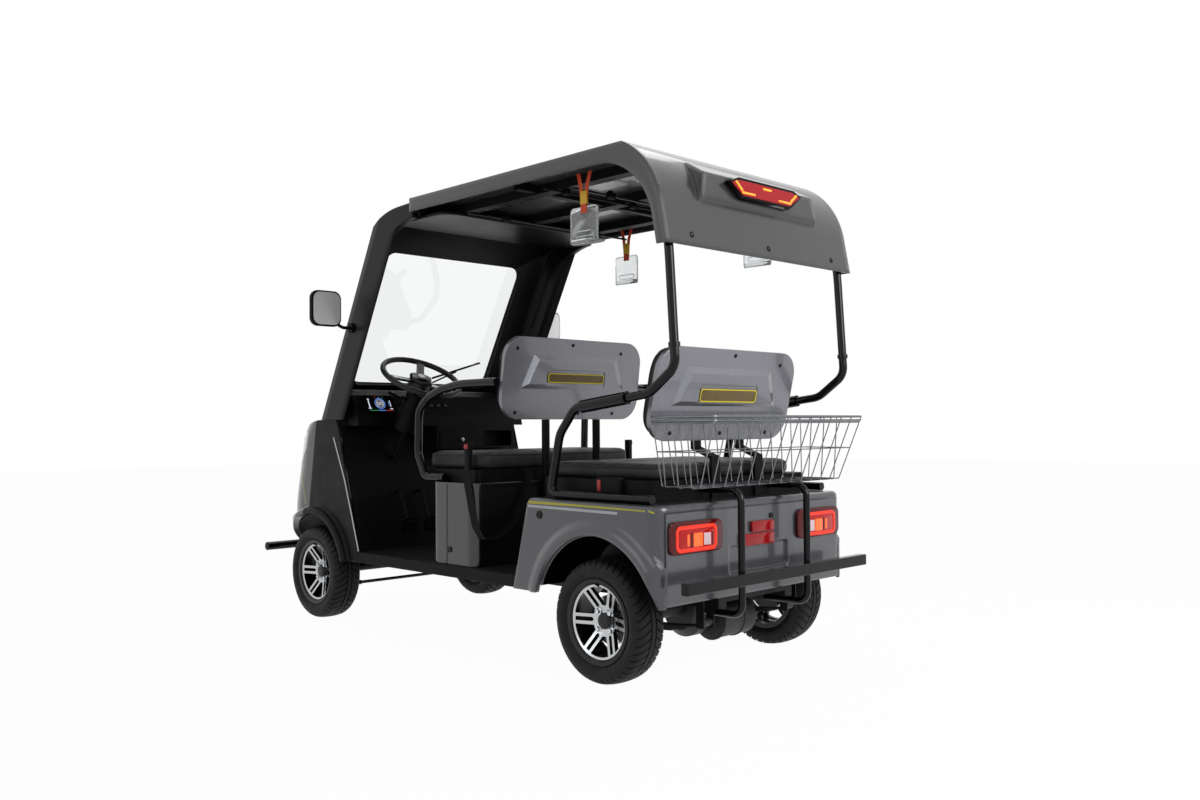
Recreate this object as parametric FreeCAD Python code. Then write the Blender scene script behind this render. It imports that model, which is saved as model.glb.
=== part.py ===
import FreeCAD, Part
import math
import os

# Four-seat electric golf cart. Millimetres, +X forward, +Y left, +Z up.
# Everything is drawn with X measured forward from the rear axle and Z from the ground;
# keep() moves each finished node so that the origin is under the middle of the cart.

os.makedirs("parts", exist_ok=True)
V = FreeCAD.Vector

# Wheels and axles
WHEELBASE = 1800.0
HALF_TRACK = 448.0
TYRE_R = 205.0
TYRE_HALF = 65.0
TYRE_WALL = 11.0
RIM_SEAT_R = 127.0
RIM_FLANGE_R = 141.0
RIM_HALF = 56.0
RIM_WALL = 8.0
SPOKE_HALF_GAP = 7.0
SPOKE_BAR = 11.0
HUB_R = 28.0
DRUM_R = 82.0
AXLE_PIN_R = 12.0
PIN_GAP = 0.5
SEAT_GAP = 0.3
KINGPIN_Y = 385.0
KINGPIN_R = 8.0
STEER_ARM = 80.0
TIE_ROD_Z = 147.0
BACK_PLATE_Y = 418.0
SPRING_Y = 232.0
LEAF_T = 6.0
LEAF_HALF = 22.0

# Chassis and floor
RAIL_Y = 185.0
RAIL_HALF = 20.0
RAIL_BOTTOM = 240.0
RAIL_REAR = -270.0
RAIL_FRONT = 2085.0
FLOOR_TOP = 320.0
FLOOR_THICK = 8.0
FLOOR_REAR = 412.0
FLOOR_FRONT = 1454.0
FLOOR_HALF = 495.0
SILL_DEEP = 44.0
RAIL_TOP = FLOOR_TOP - FLOOR_THICK

# Front body
CAB_HALF = 500.0
WALL = 5.0
FRONT_ARCH_R = 264.0
FRONT_SPREAD = 40.0
NOSE_CORNER_R = 190.0
BODY_BOTTOM = 276.0
LIP_OUT = 30.0
LIP_BAND = 12.0
SWELL_SINK = 1.5
FLARE_BACK = 20.0
COWL_Z = 883.5
SEAM = 0.6
SCREEN_FOOT_X = 1764.0
SCREEN_SLOPE = 0.502
SCREEN_BEND = 420.0
SCREEN_BULGE = 52.0
HEADER_Z = 1735.0
HEADER_REAR_Z = 1750.0
PILLAR_DEEP = 130.0
PANEL_T = 24.0
OPEN_HALF = 384.0
OPEN_TOP = (1414.0, 1613.0)
OPEN_LOW = (1719.0, 1053.0)
OPEN_R = 60.0
GLASS_T = 5.0
GLASS_LAP = 15.0
GLASS_OUT = 9.0

# Rear body
TUB_HALF = 514.0
TUB_TOP = 598.0
TUB_REAR = -285.0
TUB_FRONT_LOW = 409.0
TUB_FRONT_TOP = 326.0
TUB_CORNER_R = 50.0
TUB_EDGE_R = 18.0
TUB_LIP_OUT = 16.0
REAR_ARCH_R = 286.0
REAR_SPREAD = 62.0
REAR_PANEL_HALF = 478.0
REAR_PANEL_TOP = 572.0
LAMP_Y = 342.0
LAMP_Z = 493.0
LAMP_HALF_Y = 131.0
LAMP_HALF_Z = 52.0
DECK_TOP = 668.0
DECK_REAR = -185.7
DECK_HALF = 430.0

# Roof
ROOF_FRONT = 1040.0
ROOF_HALF = 515.0
ROOF_T = 6.0
ROOF_CROWN = 1790.0
ROOF_EDGE = 1762.0
ROOF_HEM_X = -333.0
ROOF_HEM_Z = 1412.0
ROOF_LEAN = 10.3
ROOF_BEND = 300.0
LIP_DEPTH = 44.0
LIP_Z = 1708.0
BEAM_Z = 1700.0
BEAM_TOP = 1734.0

# Tubes
POST_Y = 473.0
TUBE_R = 15.0
ROOF_TUBE_Z = ROOF_CROWN - 45.6
GUARD_Y = 185.0
GUARD_R = 12.0
GUARD_X = -352.0

# Seats
FRONT_SEAT_HALF = 430.0
REAR_SEAT_HALF = 400.0
PEDESTAL_REAR = 667.0
PEDESTAL_FRONT = 940.0
PEDESTAL_HALF = 485.0
PEDESTAL_TOP = 635.0
TRAY_TOP = 684.0
BOARD_T = 16.0
FRONT_BACK = (650.0, 875.0, 607.0, 1195.0, 375.0)
REAR_BACK = (-113.0, 795.0, -187.0, 1110.0, 380.0)

# Steering
STEER_TILT = 30.0
WHEEL_RING_R = 171.0
WHEEL_GRIP_R = 12.0
HUB = (1350.0, 240.0, 1065.0)

# Basket and bumpers
BASKET_FLOOR = 651.0
BASKET_RIM = 875.0
BASKET_FRONT = -191.0
BASKET_BACK_GAP = 40.206
WIRE_R = 2.0
RIM_WIRE_R = 4.0
BUMPER_X = 2170.0
BUMPER_Z = 295.0
BUMPER_R = 19.0
BUMPER_HALF = 540.0
MIDDLE = 876.0


# Small drawing helpers
def box(x0, x1, y0, y1, z0, z1):
    return Part.makeBox(x1 - x0, y1 - y0, z1 - z0, V(x0, y0, z0))


def rod(a, b, radius):
    a = V(*a)
    b = V(*b)
    return Part.makeCylinder(radius, (b - a).Length, a, b - a)


def fuse(shapes):
    shape = shapes[0].multiFuse(shapes[1:]) if len(shapes) > 1 else shapes[0]
    return shape.removeSplitter()


def loop(points):
    return Part.makePolygon([V(*p) for p in points] + [V(*points[0])])


def side_prism(points, y0, y1):
    """(x, z) outline carried from y0 to y1."""
    wire = loop([(x, y0, z) for x, z in points])
    return Part.Face(wire).extrude(V(0, y1 - y0, 0))


def back_prism(points, x0, x1):
    """(y, z) outline carried from x0 to x1."""
    wire = loop([(x0, y, z) for y, z in points])
    return Part.Face(wire).extrude(V(x1 - x0, 0, 0))


def round_edges(shape, radius, axis):
    picked = []
    for edge in shape.Edges:
        if edge.Curve.TypeId != "Part::GeomLine":
            continue
        if abs(edge.Curve.Direction.dot(axis)) > 0.999:
            picked.append(edge)
    return shape.makeFillet(radius, picked)


def pad(x0, x1, y0, y1, z0, z1, radius, axis):
    """Box with the four edges along one axis rounded."""
    return round_edges(box(x0, x1, y0, y1, z0, z1), radius, axis)


def soften(shape, radius, test):
    """Fillet the edges whose middle point passes the test."""
    picked = [e for e in shape.Edges if test(e.CenterOfMass)]
    return shape.makeFillet(radius, picked)


def mirrored(shape):
    return shape.mirror(V(0, 0, 0), V(0, 1, 0))


def pair(shape):
    return Part.makeCompound([shape, mirrored(shape)])


def path_wire(points, bends):
    """Straight runs joined by tangent arcs; bends is one radius or one for each corner."""
    pts = [V(*p) for p in points]
    if not isinstance(bends, (list, tuple)):
        bends = [bends] * (len(pts) - 2)
    edges = []
    start = pts[0]
    for i in range(1, len(pts) - 1):
        bend = bends[i - 1]
        before = (pts[i - 1] - pts[i]).normalize()
        after = (pts[i + 1] - pts[i]).normalize()
        half = before.getAngle(after) / 2.0
        back = bend / math.tan(half)
        arc_in = pts[i] + before * back
        arc_out = pts[i] + after * back
        middle = (before + after).normalize()
        centre = pts[i] + middle * (bend / math.sin(half))
        edges.append(Part.LineSegment(start, arc_in).toShape())
        edges.append(Part.Arc(arc_in, centre - middle * bend, arc_out).toShape())
        start = arc_out
    edges.append(Part.LineSegment(start, pts[-1]).toShape())
    return Part.Wire(edges)


def tube(points, radius, bends):
    spine = path_wire(points, bends)
    start = V(*points[0])
    ring = Part.Wire(Part.makeCircle(radius, start, V(*points[1]) - start))
    return spine.makePipeShell([ring], True, False)


def closed_tube(points, radius, bend):
    """Rounded loop; it starts in the middle of the first run."""
    first = (V(*points[0]) + V(*points[1])) * 0.5
    around = [tuple(first)] + [tuple(p) for p in points[1:]] + [tuple(points[0]), tuple(first)]
    return tube(around, radius, bend)


def chain_face(start, steps):
    """Face from steps: (end,) for a line, (middle, end) for an arc."""
    edges = []
    here = V(*start)
    for step in steps:
        end = V(*step[-1])
        if len(step) == 2:
            edges.append(Part.Arc(here, V(*step[0]), end).toShape())
        else:
            edges.append(Part.LineSegment(here, end).toShape())
        here = end
    edges.append(Part.LineSegment(here, V(*start)).toShape())
    return Part.Face(Part.Wire(edges))


def under_path(points, bend, corners, half):
    """Prism from -half to half under a bent side line, closed through the corners."""
    line = path_wire([(x, 0, z) for x, z in points], bend)
    ends = [V(points[-1][0], 0, points[-1][1])] + [V(x, 0, z) for x, z in corners]
    ends.append(V(points[0][0], 0, points[0][1]))
    edges = line.Edges + [Part.LineSegment(a, b).toShape() for a, b in zip(ends[:-1], ends[1:])]
    solid = Part.Face(Part.Wire(edges)).extrude(V(0, 2 * half, 0))
    solid.translate(V(0, -half, 0))
    return solid


def turned(profile, centre, axis):
    """Closed (radius, along) profile turned about an axis through centre."""
    wire = loop([(r, 0, a) for r, a in profile])
    shape = Part.Face(wire).revolve(V(0, 0, 0), V(0, 0, 1), 360)
    shape.Placement = FreeCAD.Placement(V(*centre), FreeCAD.Rotation(V(0, 0, 1), V(*axis)))
    return shape


def keep(name, shape):
    shape = shape.copy()
    shape.translate(V(-MIDDLE, 0, 0))
    shape.exportStep("parts/%s.step" % name)


# Wheels, drawn once about the Y axis with the outer face towards +Y
def make_tyre():
    """Hollow carcass: bead, bulged sidewall, rounded shoulder and crowned tread."""
    def at(r, y):
        return (r, y, 0)

    bead_r = RIM_SEAT_R + SEAT_GAP
    heel = RIM_HALF - 4 - SEAT_GAP
    clear_r = RIM_FLANGE_R + 1.5
    side_r = clear_r + 23
    inner_side = TYRE_HALF - TYRE_WALL
    shoulder_r = TYRE_R - 19
    steps = [
        (at(clear_r, heel),),
        (at(side_r, TYRE_HALF), at(shoulder_r, TYRE_HALF - 5)),
        (at(TYRE_R - 8, TYRE_HALF - 12), at(TYRE_R - 3, TYRE_HALF - 23)),
        (at(TYRE_R, 0), at(TYRE_R - 3, 23 - TYRE_HALF)),
        (at(TYRE_R - 8, 12 - TYRE_HALF), at(shoulder_r, 5 - TYRE_HALF)),
        (at(side_r, -TYRE_HALF), at(clear_r, -heel)),
        (at(bead_r, -heel),),
        (at(bead_r, -heel + 12),),
        (at(side_r, -inner_side), at(shoulder_r, 6 - inner_side)),
        (at(TYRE_R - TYRE_WALL, 0), at(shoulder_r, inner_side - 6)),
        (at(side_r, inner_side), at(bead_r, heel - 12)),
    ]
    face = chain_face(at(bead_r, heel), steps)
    return face.revolve(V(0, 0, 0), V(0, 1, 0), 360)


def spoke_window(inner_r, outer_r, offset, turn):
    """Opening between two spoke pairs 60 degrees apart, its sides parallel to the spokes."""
    def on_side(radius, second):
        along = math.sqrt(radius * radius - offset * offset)
        if not second:
            return V(along, 0, offset)
        c = math.cos(math.pi / 3)
        s = math.sin(math.pi / 3)
        return V(along * c + offset * s, 0, along * s - offset * c)

    a = on_side(inner_r, False)
    b = on_side(outer_r, False)
    c = on_side(outer_r, True)
    d = on_side(inner_r, True)
    top = V(outer_r * math.cos(math.pi / 6), 0, outer_r * math.sin(math.pi / 6))
    wire = Part.Wire([
        Part.LineSegment(a, b).toShape(),
        Part.Arc(b, top, c).toShape(),
        Part.LineSegment(c, d).toShape(),
        Part.LineSegment(d, a).toShape(),
    ])
    hole = Part.Face(wire).extrude(V(0, 2 * RIM_HALF, 0))
    hole.translate(V(0, -RIM_HALF, 0))
    hole.rotate(V(0, 0, 0), V(0, 1, 0), turn)
    return hole


def spoke_slot(inner_r, outer_r, turn):
    """Rounded slot between the two bars of one spoke pair."""
    slot = box(inner_r, outer_r, -RIM_HALF, RIM_HALF, -SPOKE_HALF_GAP, SPOKE_HALF_GAP)
    end = Part.makeCylinder(SPOKE_HALF_GAP, 2 * RIM_HALF, V(inner_r, -RIM_HALF, 0), V(0, 1, 0))
    slot = slot.fuse(end)
    slot.rotate(V(0, 0, 0), V(0, 1, 0), turn)
    return slot


def make_rim():
    """Barrel with flanges, dished face with six spoke pairs, hub, drum and cap."""
    seat = RIM_SEAT_R
    half = RIM_HALF
    well = seat - RIM_WALL
    barrel = turned([
        (seat, -half + 4), (RIM_FLANGE_R, -half + 4), (RIM_FLANGE_R, -half), (seat - 4, -half),
        (well, -half + 14), (well, half - 26), (well + 3, half - 10), (seat - 3.5, half - 5),
        (seat + 1, half), (RIM_FLANGE_R, half),
        (RIM_FLANGE_R, half - 4), (seat, half - 4),
    ], (0, 0, 0), (0, 1, 0))
    face = turned([
        (0, -4), (36, -4), (60, 6), (well + 1, 28), (well + 3.5, half - 9), (64, 24), (34, 14),
        (0, 14),
    ], (0, 0, 0), (0, 1, 0))
    drum = turned([
        (HUB_R, -8), (DRUM_R, -8), (DRUM_R, -23), (DRUM_R - 6, -23), (DRUM_R - 6, -14),
        (HUB_R, -14),
    ], (0, 0, 0), (0, 1, 0))
    hub = rod((0, -22, 0), (0, 0, 0), HUB_R)
    cap = turned([(0, 13), (27, 13), (27, 20), (22, 25), (0, 26)], (0, 0, 0), (0, 1, 0))
    holes = []
    for k in range(6):
        holes.append(spoke_window(52, 115, SPOKE_HALF_GAP + SPOKE_BAR, 60 * k))
        holes.append(spoke_slot(58, 113, 60 * k))
    face = face.cut(Part.makeCompound(holes))
    body = fuse([barrel, face, drum, hub, cap])
    return body.cut(rod((0, -30, 0), (0, 8, 0), AXLE_PIN_R + PIN_GAP))


def place_wheel(shape, x, side):
    wheel = shape.copy()
    if side < 0:
        wheel = mirrored(wheel)
    wheel.translate(V(x, side * HALF_TRACK, TYRE_R))
    return wheel


def make_wheels():
    tyre = make_tyre()
    rim = make_rim()
    for end, x in (("front", WHEELBASE), ("rear", 0.0)):
        for name, side in (("left", 1), ("right", -1)):
            keep("tyre_%s_%s" % (end, name), place_wheel(tyre, x, side))
            keep("rim_%s_%s" % (end, name), place_wheel(rim, x, side))


# Front axle beam, knuckles and tie rod
EYE_HALF = 20.0
LUG_T = 14.0
FRONT_SEAT_Z = 237.0


def make_front_axle():
    x = WHEELBASE
    z = TYRE_R
    pieces = [rod((x, 10 - KINGPIN_Y, z), (x, KINGPIN_Y - 10, z), 18)]
    for side in (1, -1):
        y = side * KINGPIN_Y
        pieces.append(rod((x, y, z - EYE_HALF), (x, y, z + EYE_HALF), 20))
        pieces.append(box(x - 30, x + 30, side * SPRING_Y - 24, side * SPRING_Y + 24,
                          z + 10, FRONT_SEAT_Z))
    beam = fuse(pieces)
    for side in (1, -1):
        y = side * KINGPIN_Y
        beam = beam.cut(rod((x, y, 100), (x, y, 300), KINGPIN_R + PIN_GAP))
    return beam


def make_knuckle(side):
    """Yoke on the kingpin, backing plate, wheel spindle and steering arm with its pin."""
    x = WHEELBASE
    y = KINGPIN_Y
    z = TYRE_R
    low = EYE_HALF + 1
    high = low + LUG_T
    arm_x = x - STEER_ARM
    pieces = [
        rod((x, y, z + low), (x, y, z + high), 20),
        rod((x, y, z - high), (x, y, z - low), 20),
        rod((x, y, z - high), (x, y, z + high), KINGPIN_R),
        box(x - 18, x + 18, y + 10, y + 32, z + low, z + high),
        box(x - 18, x + 18, y + 10, y + 32, z - high, z - low),
        box(x - 18, x + 18, y + 25, y + 32, z - high, z + high),
        rod((x, BACK_PLATE_Y - 3, z), (x, BACK_PLATE_Y + 2, z), DRUM_R - 14),
        rod((x, BACK_PLATE_Y, z), (x, HALF_TRACK + 6, z), AXLE_PIN_R),
        box(arm_x, x, y - 9, y + 9, z - high, z - high + 11),
        rod((arm_x, y, z - high), (arm_x, y, z - high + 11), 13),
        rod((arm_x, y, TIE_ROD_Z - 11), (arm_x, y, z - high + 5), 6),
        rod((arm_x, y, TIE_ROD_Z - 14), (arm_x, y, TIE_ROD_Z - 9), 10),
    ]
    shape = fuse(pieces)
    return shape if side > 0 else mirrored(shape)


def make_tie_rod():
    x = WHEELBASE - STEER_ARM
    y = KINGPIN_Y
    pieces = [rod((x, 10 - y, TIE_ROD_Z), (x, y - 10, TIE_ROD_Z), 7)]
    for side in (1, -1):
        pieces.append(rod((x, side * y, TIE_ROD_Z - 7), (x, side * y, TIE_ROD_Z + 7), 13))
        pieces.append(rod((x, side * (y - 70), TIE_ROD_Z), (x, side * (y - 14), TIE_ROD_Z), 10))
    shape = fuse(pieces)
    for side in (1, -1):
        shape = shape.cut(rod((x, side * y, 100), (x, side * y, 200), 6 + PIN_GAP))
    return shape


# Leaf springs: axle, spring seat, leaves above (1) or below (-1) it, reach back and ahead, rise
REAR_SEAT_Z = 171.0
FRONT_SPRING = (WHEELBASE, FRONT_SEAT_Z, 1, 255.0, 255.0, 20.0)
REAR_SPRING = (0.0, REAR_SEAT_Z, -1, 235.0, 330.0, 44.0)
SPRING_EYE_R = 14.0
SPRING_BOLT_R = 7.0
LEAF_SHARES = (0.45, 0.72, 1.0)
LEAF_LAP = 0.4


def leaf(x, back, ahead, low, lift_back, lift_ahead):
    """One curved leaf, lowest at the axle."""
    y = SPRING_Y - LEAF_HALF
    top = low + LEAF_T + LEAF_LAP
    face = chain_face((x - back, y, low + lift_back), [
        ((x - back * 0.5, y, low + lift_back * 0.25), (x, y, low)),
        ((x + ahead * 0.5, y, low + lift_ahead * 0.25), (x + ahead, y, low + lift_ahead)),
        ((x + ahead, y, top + lift_ahead),),
        ((x + ahead * 0.5, y, top + lift_ahead * 0.25), (x, y, top)),
        ((x - back * 0.5, y, top + lift_back * 0.25), (x - back, y, top + lift_back)),
    ])
    return face.extrude(V(0, 2 * LEAF_HALF, 0))


def spring_lifts(spring, share):
    back, ahead, rise = spring[3:]
    longest = max(back, ahead)
    return rise * (share * back / longest) ** 2, rise * (share * ahead / longest) ** 2


def eye_points(spring):
    x, seat, side, back, ahead, rise = spring
    main_top = seat + 3 * LEAF_T if side > 0 else seat
    lift_back, lift_ahead = spring_lifts(spring, 1.0)
    return [(x - back, main_top + lift_back + 6), (x + ahead, main_top + lift_ahead + 6)]


def make_springs(spring):
    x, seat, side, back, ahead, rise = spring
    first = seat if side > 0 else seat - 3 * LEAF_T
    pieces = []
    for k, share in enumerate(LEAF_SHARES):
        lifts = spring_lifts(spring, share)
        pieces.append(leaf(x, back * share, ahead * share, first + k * LEAF_T, *lifts))
    clamp_low = seat if side > 0 else seat - 3 * LEAF_T - 8
    pieces.append(box(x - 22, x + 22, SPRING_Y - 24, SPRING_Y + 24, clamp_low,
                      clamp_low + 3 * LEAF_T + 8))
    for ex, ez in eye_points(spring):
        pieces.append(rod((ex, SPRING_Y - LEAF_HALF, ez), (ex, SPRING_Y + LEAF_HALF, ez),
                          SPRING_EYE_R))
    body = fuse(pieces)
    for ex, ez in eye_points(spring):
        body = body.cut(rod((ex, 100, ez), (ex, 400, ez), SPRING_BOLT_R + SEAT_GAP))
    return pair(body)


def make_rear_axle():
    """Tube with differential, motor, backing plates, spindles and spring pads."""
    z = TYRE_R
    pieces = [
        rod((0, -BACK_PLATE_Y, z), (0, BACK_PLATE_Y, z), 28),
        rod((0, -HALF_TRACK - 6, z), (0, HALF_TRACK + 6, z), AXLE_PIN_R),
        turned([(0, -48), (70, -48), (95, -22), (95, 22), (70, 48), (0, 48)], (0, 50, z - 12),
               (0, 1, 0)),
        turned([(0, -130), (60, -130), (70, -120), (70, -60), (74, -58), (74, -52), (70, -50),
                (70, 50), (74, 52), (74, 60), (0, 60)], (-62, -60, z - 48), (0, 1, 0)),
    ]
    for side in (1, -1):
        pieces.append(rod((0, side * (BACK_PLATE_Y - 3), z), (0, side * (BACK_PLATE_Y + 2), z),
                          DRUM_R - 14))
        pieces.append(box(-26, 26, side * SPRING_Y - 24, side * SPRING_Y + 24,
                          REAR_SEAT_Z + LEAF_LAP + 2 * SEAT_GAP, z - 10))
    return fuse(pieces)


# Chassis frame
def spring_hanger(x, z):
    """Two cheeks and a bolt that carry one left spring eye beside the rail."""
    low = min(z - 18, RAIL_BOTTOM + 20)
    inner = RAIL_Y + RAIL_HALF - 1
    gap_in = SPRING_Y - LEAF_HALF - 1
    gap_out = SPRING_Y + LEAF_HALF + 1
    top = RAIL_TOP - 4
    return [
        box(x - 16, x + 16, inner, gap_in, low, top),
        box(x - 16, x + 16, gap_out, gap_out + 5, low, top),
        box(x - 16, x + 16, inner, gap_out + 5, top - 5, top),
        rod((x, inner, z), (x, gap_out + 11, z), SPRING_BOLT_R),
    ]


def make_rail():
    pieces = [box(RAIL_REAR, RAIL_FRONT, RAIL_Y - RAIL_HALF, RAIL_Y + RAIL_HALF,
                  RAIL_BOTTOM, RAIL_TOP)]
    for spring in (FRONT_SPRING, REAR_SPRING):
        for x, z in eye_points(spring):
            pieces += spring_hanger(x, z)
    return fuse(pieces)


FRONT_BAR_SETBACK = 160.0
OUTRIGGER_SETBACK = 400.0


def make_cross_members():
    """Bars between the two rails and outriggers beyond them."""
    bars = []
    inner = RAIL_Y - RAIL_HALF - SEAT_GAP
    outer = RAIL_Y + RAIL_HALF + SEAT_GAP
    front = WHEELBASE - FRONT_BAR_SETBACK
    for x in (RAIL_REAR, 150.0, 330.0, 800.0, 1250.0, front, WHEELBASE + FRONT_BAR_SETBACK):
        bars.append(box(x, x + 40, -inner, inner, RAIL_TOP - 50, RAIL_TOP))
    for x in (440.0, 1000.0, WHEELBASE - OUTRIGGER_SETBACK):
        bars.append(box(x, x + 40, -inner, inner, RAIL_TOP - 30, RAIL_TOP))
        for side in (1, -1):
            y0, y1 = sorted((side * outer, side * (FLOOR_HALF - 12)))
            bars.append(box(x, x + 40, y0, y1, RAIL_TOP - 30, RAIL_TOP))
    return Part.makeCompound(bars)


# Floor and toe board
def make_floor():
    """Flat pan with raised tread strips, rolled down over both sills."""
    top = side_prism([(FLOOR_REAR, RAIL_TOP), (FLOOR_REAR - 2, FLOOR_TOP),
                      (FLOOR_FRONT, FLOOR_TOP), (FLOOR_FRONT, RAIL_TOP)],
                     -FLOOR_HALF, FLOOR_HALF)
    sill = pad(FLOOR_REAR, FLOOR_FRONT, FLOOR_HALF - 8, FLOOR_HALF + 4,
               FLOOR_TOP - SILL_DEEP, FLOOR_TOP, 3, V(1, 0, 0))
    pieces = [top, sill, mirrored(sill)]
    for k in range(8):
        y = -350 + 100 * k
        pieces.append(box(960, 1420, y - 12, y + 12, FLOOR_TOP - 2, FLOOR_TOP + 3))
    return fuse(pieces)


TOE_LINE = [(FLOOR_FRONT + SEAT_GAP, FLOOR_TOP), (1509, 538), (1549, 666), (1604, 856)]
TOE_T = 6.0


def make_toe_board():
    ahead = [(x + TOE_T, z - 2) for x, z in reversed(TOE_LINE[1:])]
    foot = [(TOE_LINE[0][0] + TOE_T + 1, RAIL_TOP), (TOE_LINE[0][0], RAIL_TOP)]
    board = side_prism(TOE_LINE + ahead + foot, -CAB_HALF + 13, CAB_HALF - 13)
    return board.cut(make_column(1.0))


def toe_x(z):
    """X of the toe board's rear face at a height."""
    for (x0, z0), (x1, z1) in zip(TOE_LINE[:-1], TOE_LINE[1:]):
        if z <= z1:
            return x0 + (x1 - x0) * (z - z0) / (z1 - z0)
    return TOE_LINE[-1][0]


def make_pedals():
    """Two hanging pedals on arms that stand square on the toe board."""
    pedals = []
    slope = math.atan2(TOE_LINE[2][0] - TOE_LINE[1][0], TOE_LINE[2][1] - TOE_LINE[1][1])
    off = V(-math.cos(slope), 0, math.sin(slope))
    for y, wide in ((150.0, 28.0), (262.0, 38.0)):
        root = V(toe_x(560.0), y, 560.0) + off * SEAT_GAP
        knee = root + off * 34
        foot = V(toe_x(420.0) - 62, y, 420.0)
        arm = tube([tuple(root), tuple(knee), tuple(foot)], 7, 16)
        plate = pad(-5, 5, y - wide, y + wide, -34, 34, 8, V(1, 0, 0))
        plate.rotate(V(0, y, 0), V(0, 1, 0), -20)
        plate.translate(V(foot.x, 0, foot.z))
        pedals.append(fuse([arm, plate]))
    return Part.makeCompound(pedals)


# Nose, lamps and side panels
NOSE_LEVELS = [(200, 2010), (276, 2062), (380, 2116), (490, 2130), (650, 2096), (780, 2066),
               (840, 2036), (930, 1960)]
NOSE_BOW = 26.0
HOOD_LINE = [(1625, COWL_Z), (1764, COWL_Z), (1795, 880), (2046, 838), (2250, 804)]
UNDER_LINE = [(2250, 350), (2200, 350), (2040, 330), (1560, BODY_BOTTOM)]


def nose_level(z, front, inset):
    """Plan outline at one height: straight sides, round corners, gently bowed front."""
    half = CAB_HALF - inset
    radius = NOSE_CORNER_R - inset
    nose = front - inset
    side_x = nose - NOSE_BOW - radius
    k = radius * (1 - math.sqrt(0.5))
    rear = 1200.0
    pts = [
        Part.LineSegment(V(rear, half, z), V(side_x, half, z)),
        Part.Arc(V(side_x, half, z), V(nose - NOSE_BOW - k, half - k, z),
                 V(nose - NOSE_BOW, half - radius, z)),
        Part.Arc(V(nose - NOSE_BOW, half - radius, z), V(nose, 0, z),
                 V(nose - NOSE_BOW, radius - half, z)),
        Part.Arc(V(nose - NOSE_BOW, radius - half, z), V(nose - NOSE_BOW - k, k - half, z),
                 V(side_x, -half, z)),
        Part.LineSegment(V(side_x, -half, z), V(rear, -half, z)),
        Part.LineSegment(V(rear, -half, z), V(rear, half, z)),
    ]
    return Part.Wire([p.toShape() for p in pts])


def nose_limit(inset):
    """Side outline that trims the lofted nose; an inset one is open behind and below."""
    hood = [(x, z - inset) for x, z in HOOD_LINE]
    if inset > 0:
        return [(1300, 150), (1300, COWL_Z - inset)] + hood + [(2250, 150)]
    jamb = [(FLOOR_FRONT + 2, BODY_BOTTOM)] + [(x + 2, z) for x, z in TOE_LINE]
    return jamb + hood + UNDER_LINE


def nose_block(inset):
    """Solid nose shrunk by inset, or swollen where inset is below zero."""
    body = Part.makeLoft([nose_level(z, x, inset) for z, x in NOSE_LEVELS], True, False)
    return body.common(side_prism(nose_limit(inset), -700, 700))


def swell_ring(x, radius, spread, side_y, lip_y, shrink):
    """Turned solid under the swelling round a wheel arch, shrunk on its outside."""
    inner = radius + shrink
    lip = lip_y - shrink
    crest = radius + LIP_BAND
    root = radius + spread - shrink
    foot = side_y - shrink - SWELL_SINK
    run = (root - crest) / 2
    drop = (lip - foot) / 2
    bow = (run * run + drop * drop) / (2 * drop)
    half_turn = math.asin(run / bow) / 2
    along = bow * math.sin(half_turn)
    down = bow * (1 - math.cos(half_turn))

    def at(r, y):
        return (x + r, y, TYRE_R)

    face = chain_face(at(inner, 150), [
        (at(inner, lip),), (at(crest, lip),),
        (at(crest + along, lip - down), at(crest + run, lip - drop)),
        (at(root - along, foot + down), at(root, foot)),
        (at(root, 150),),
    ])
    return face.revolve(V(x, 0, TYRE_R), V(0, 1, 0), 360)


def arch_cutter(x, radius, y0, y1):
    return Part.makeCylinder(radius, y1 - y0, V(x, y0, TYRE_R), V(0, 1, 0))


def lamp_zone(grow):
    """Side outline of the wrapped headlamp, both sides."""
    side = [(2250, 806 + grow), (2250, 690 - grow), (1971, 690 - grow), (1925, 706 - grow),
            (1880 - grow, 757), (1868 - grow, 832 + grow), (1990, 818 + grow)]
    return pair(side_prism(side, 262 - grow, 600))


def panel_zone(grow):
    """Room of the dark side panels behind the nose seam, both sides."""
    side = [(1400, 200), (1862 + grow, 200), (1862 + grow, 440), (1855 + grow, 469),
            (1783 + grow, COWL_Z + 20), (1400, COWL_Z + 20)]
    return pair(side_prism(side, CAB_HALF - WALL - grow, 600))


def moved_back(shape):
    """Grown nose set back, so that the flares fade out towards the front."""
    shape.translate(V(-FLARE_BACK, 0, 0))
    return shape


def nose_skin():
    """Hollow nose with both wheel arches cut and swollen."""
    inner = nose_block(WALL)
    shell = nose_block(0).cut(inner)
    shell = shell.cut(arch_cutter(WHEELBASE, FRONT_ARCH_R + 2, 200, 600))
    shell = shell.cut(arch_cutter(WHEELBASE, FRONT_ARCH_R + 2, -600, -200))
    lip = CAB_HALF + LIP_OUT
    limit = side_prism(nose_limit(0), 150, 600)
    outer = swell_ring(WHEELBASE, FRONT_ARCH_R, FRONT_SPREAD, CAB_HALF, lip, 0)
    outer = outer.common(limit).common(moved_back(nose_block(-LIP_OUT - 1))).cut(inner)
    hollow = swell_ring(WHEELBASE, FRONT_ARCH_R, FRONT_SPREAD, CAB_HALF, lip, WALL)
    hollow = hollow.common(moved_back(nose_block(WALL - LIP_OUT - 1)))
    hollow = hollow.common(box(1300, 2300, 150, 600, 100, 900))
    return fuse([shell, outer, mirrored(outer)]).cut(pair(hollow))


def make_headlamps():
    skin = nose_block(0).cut(nose_block(14))
    return Part.makeCompound([s.common(skin) for s in lamp_zone(0).Solids])


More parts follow.
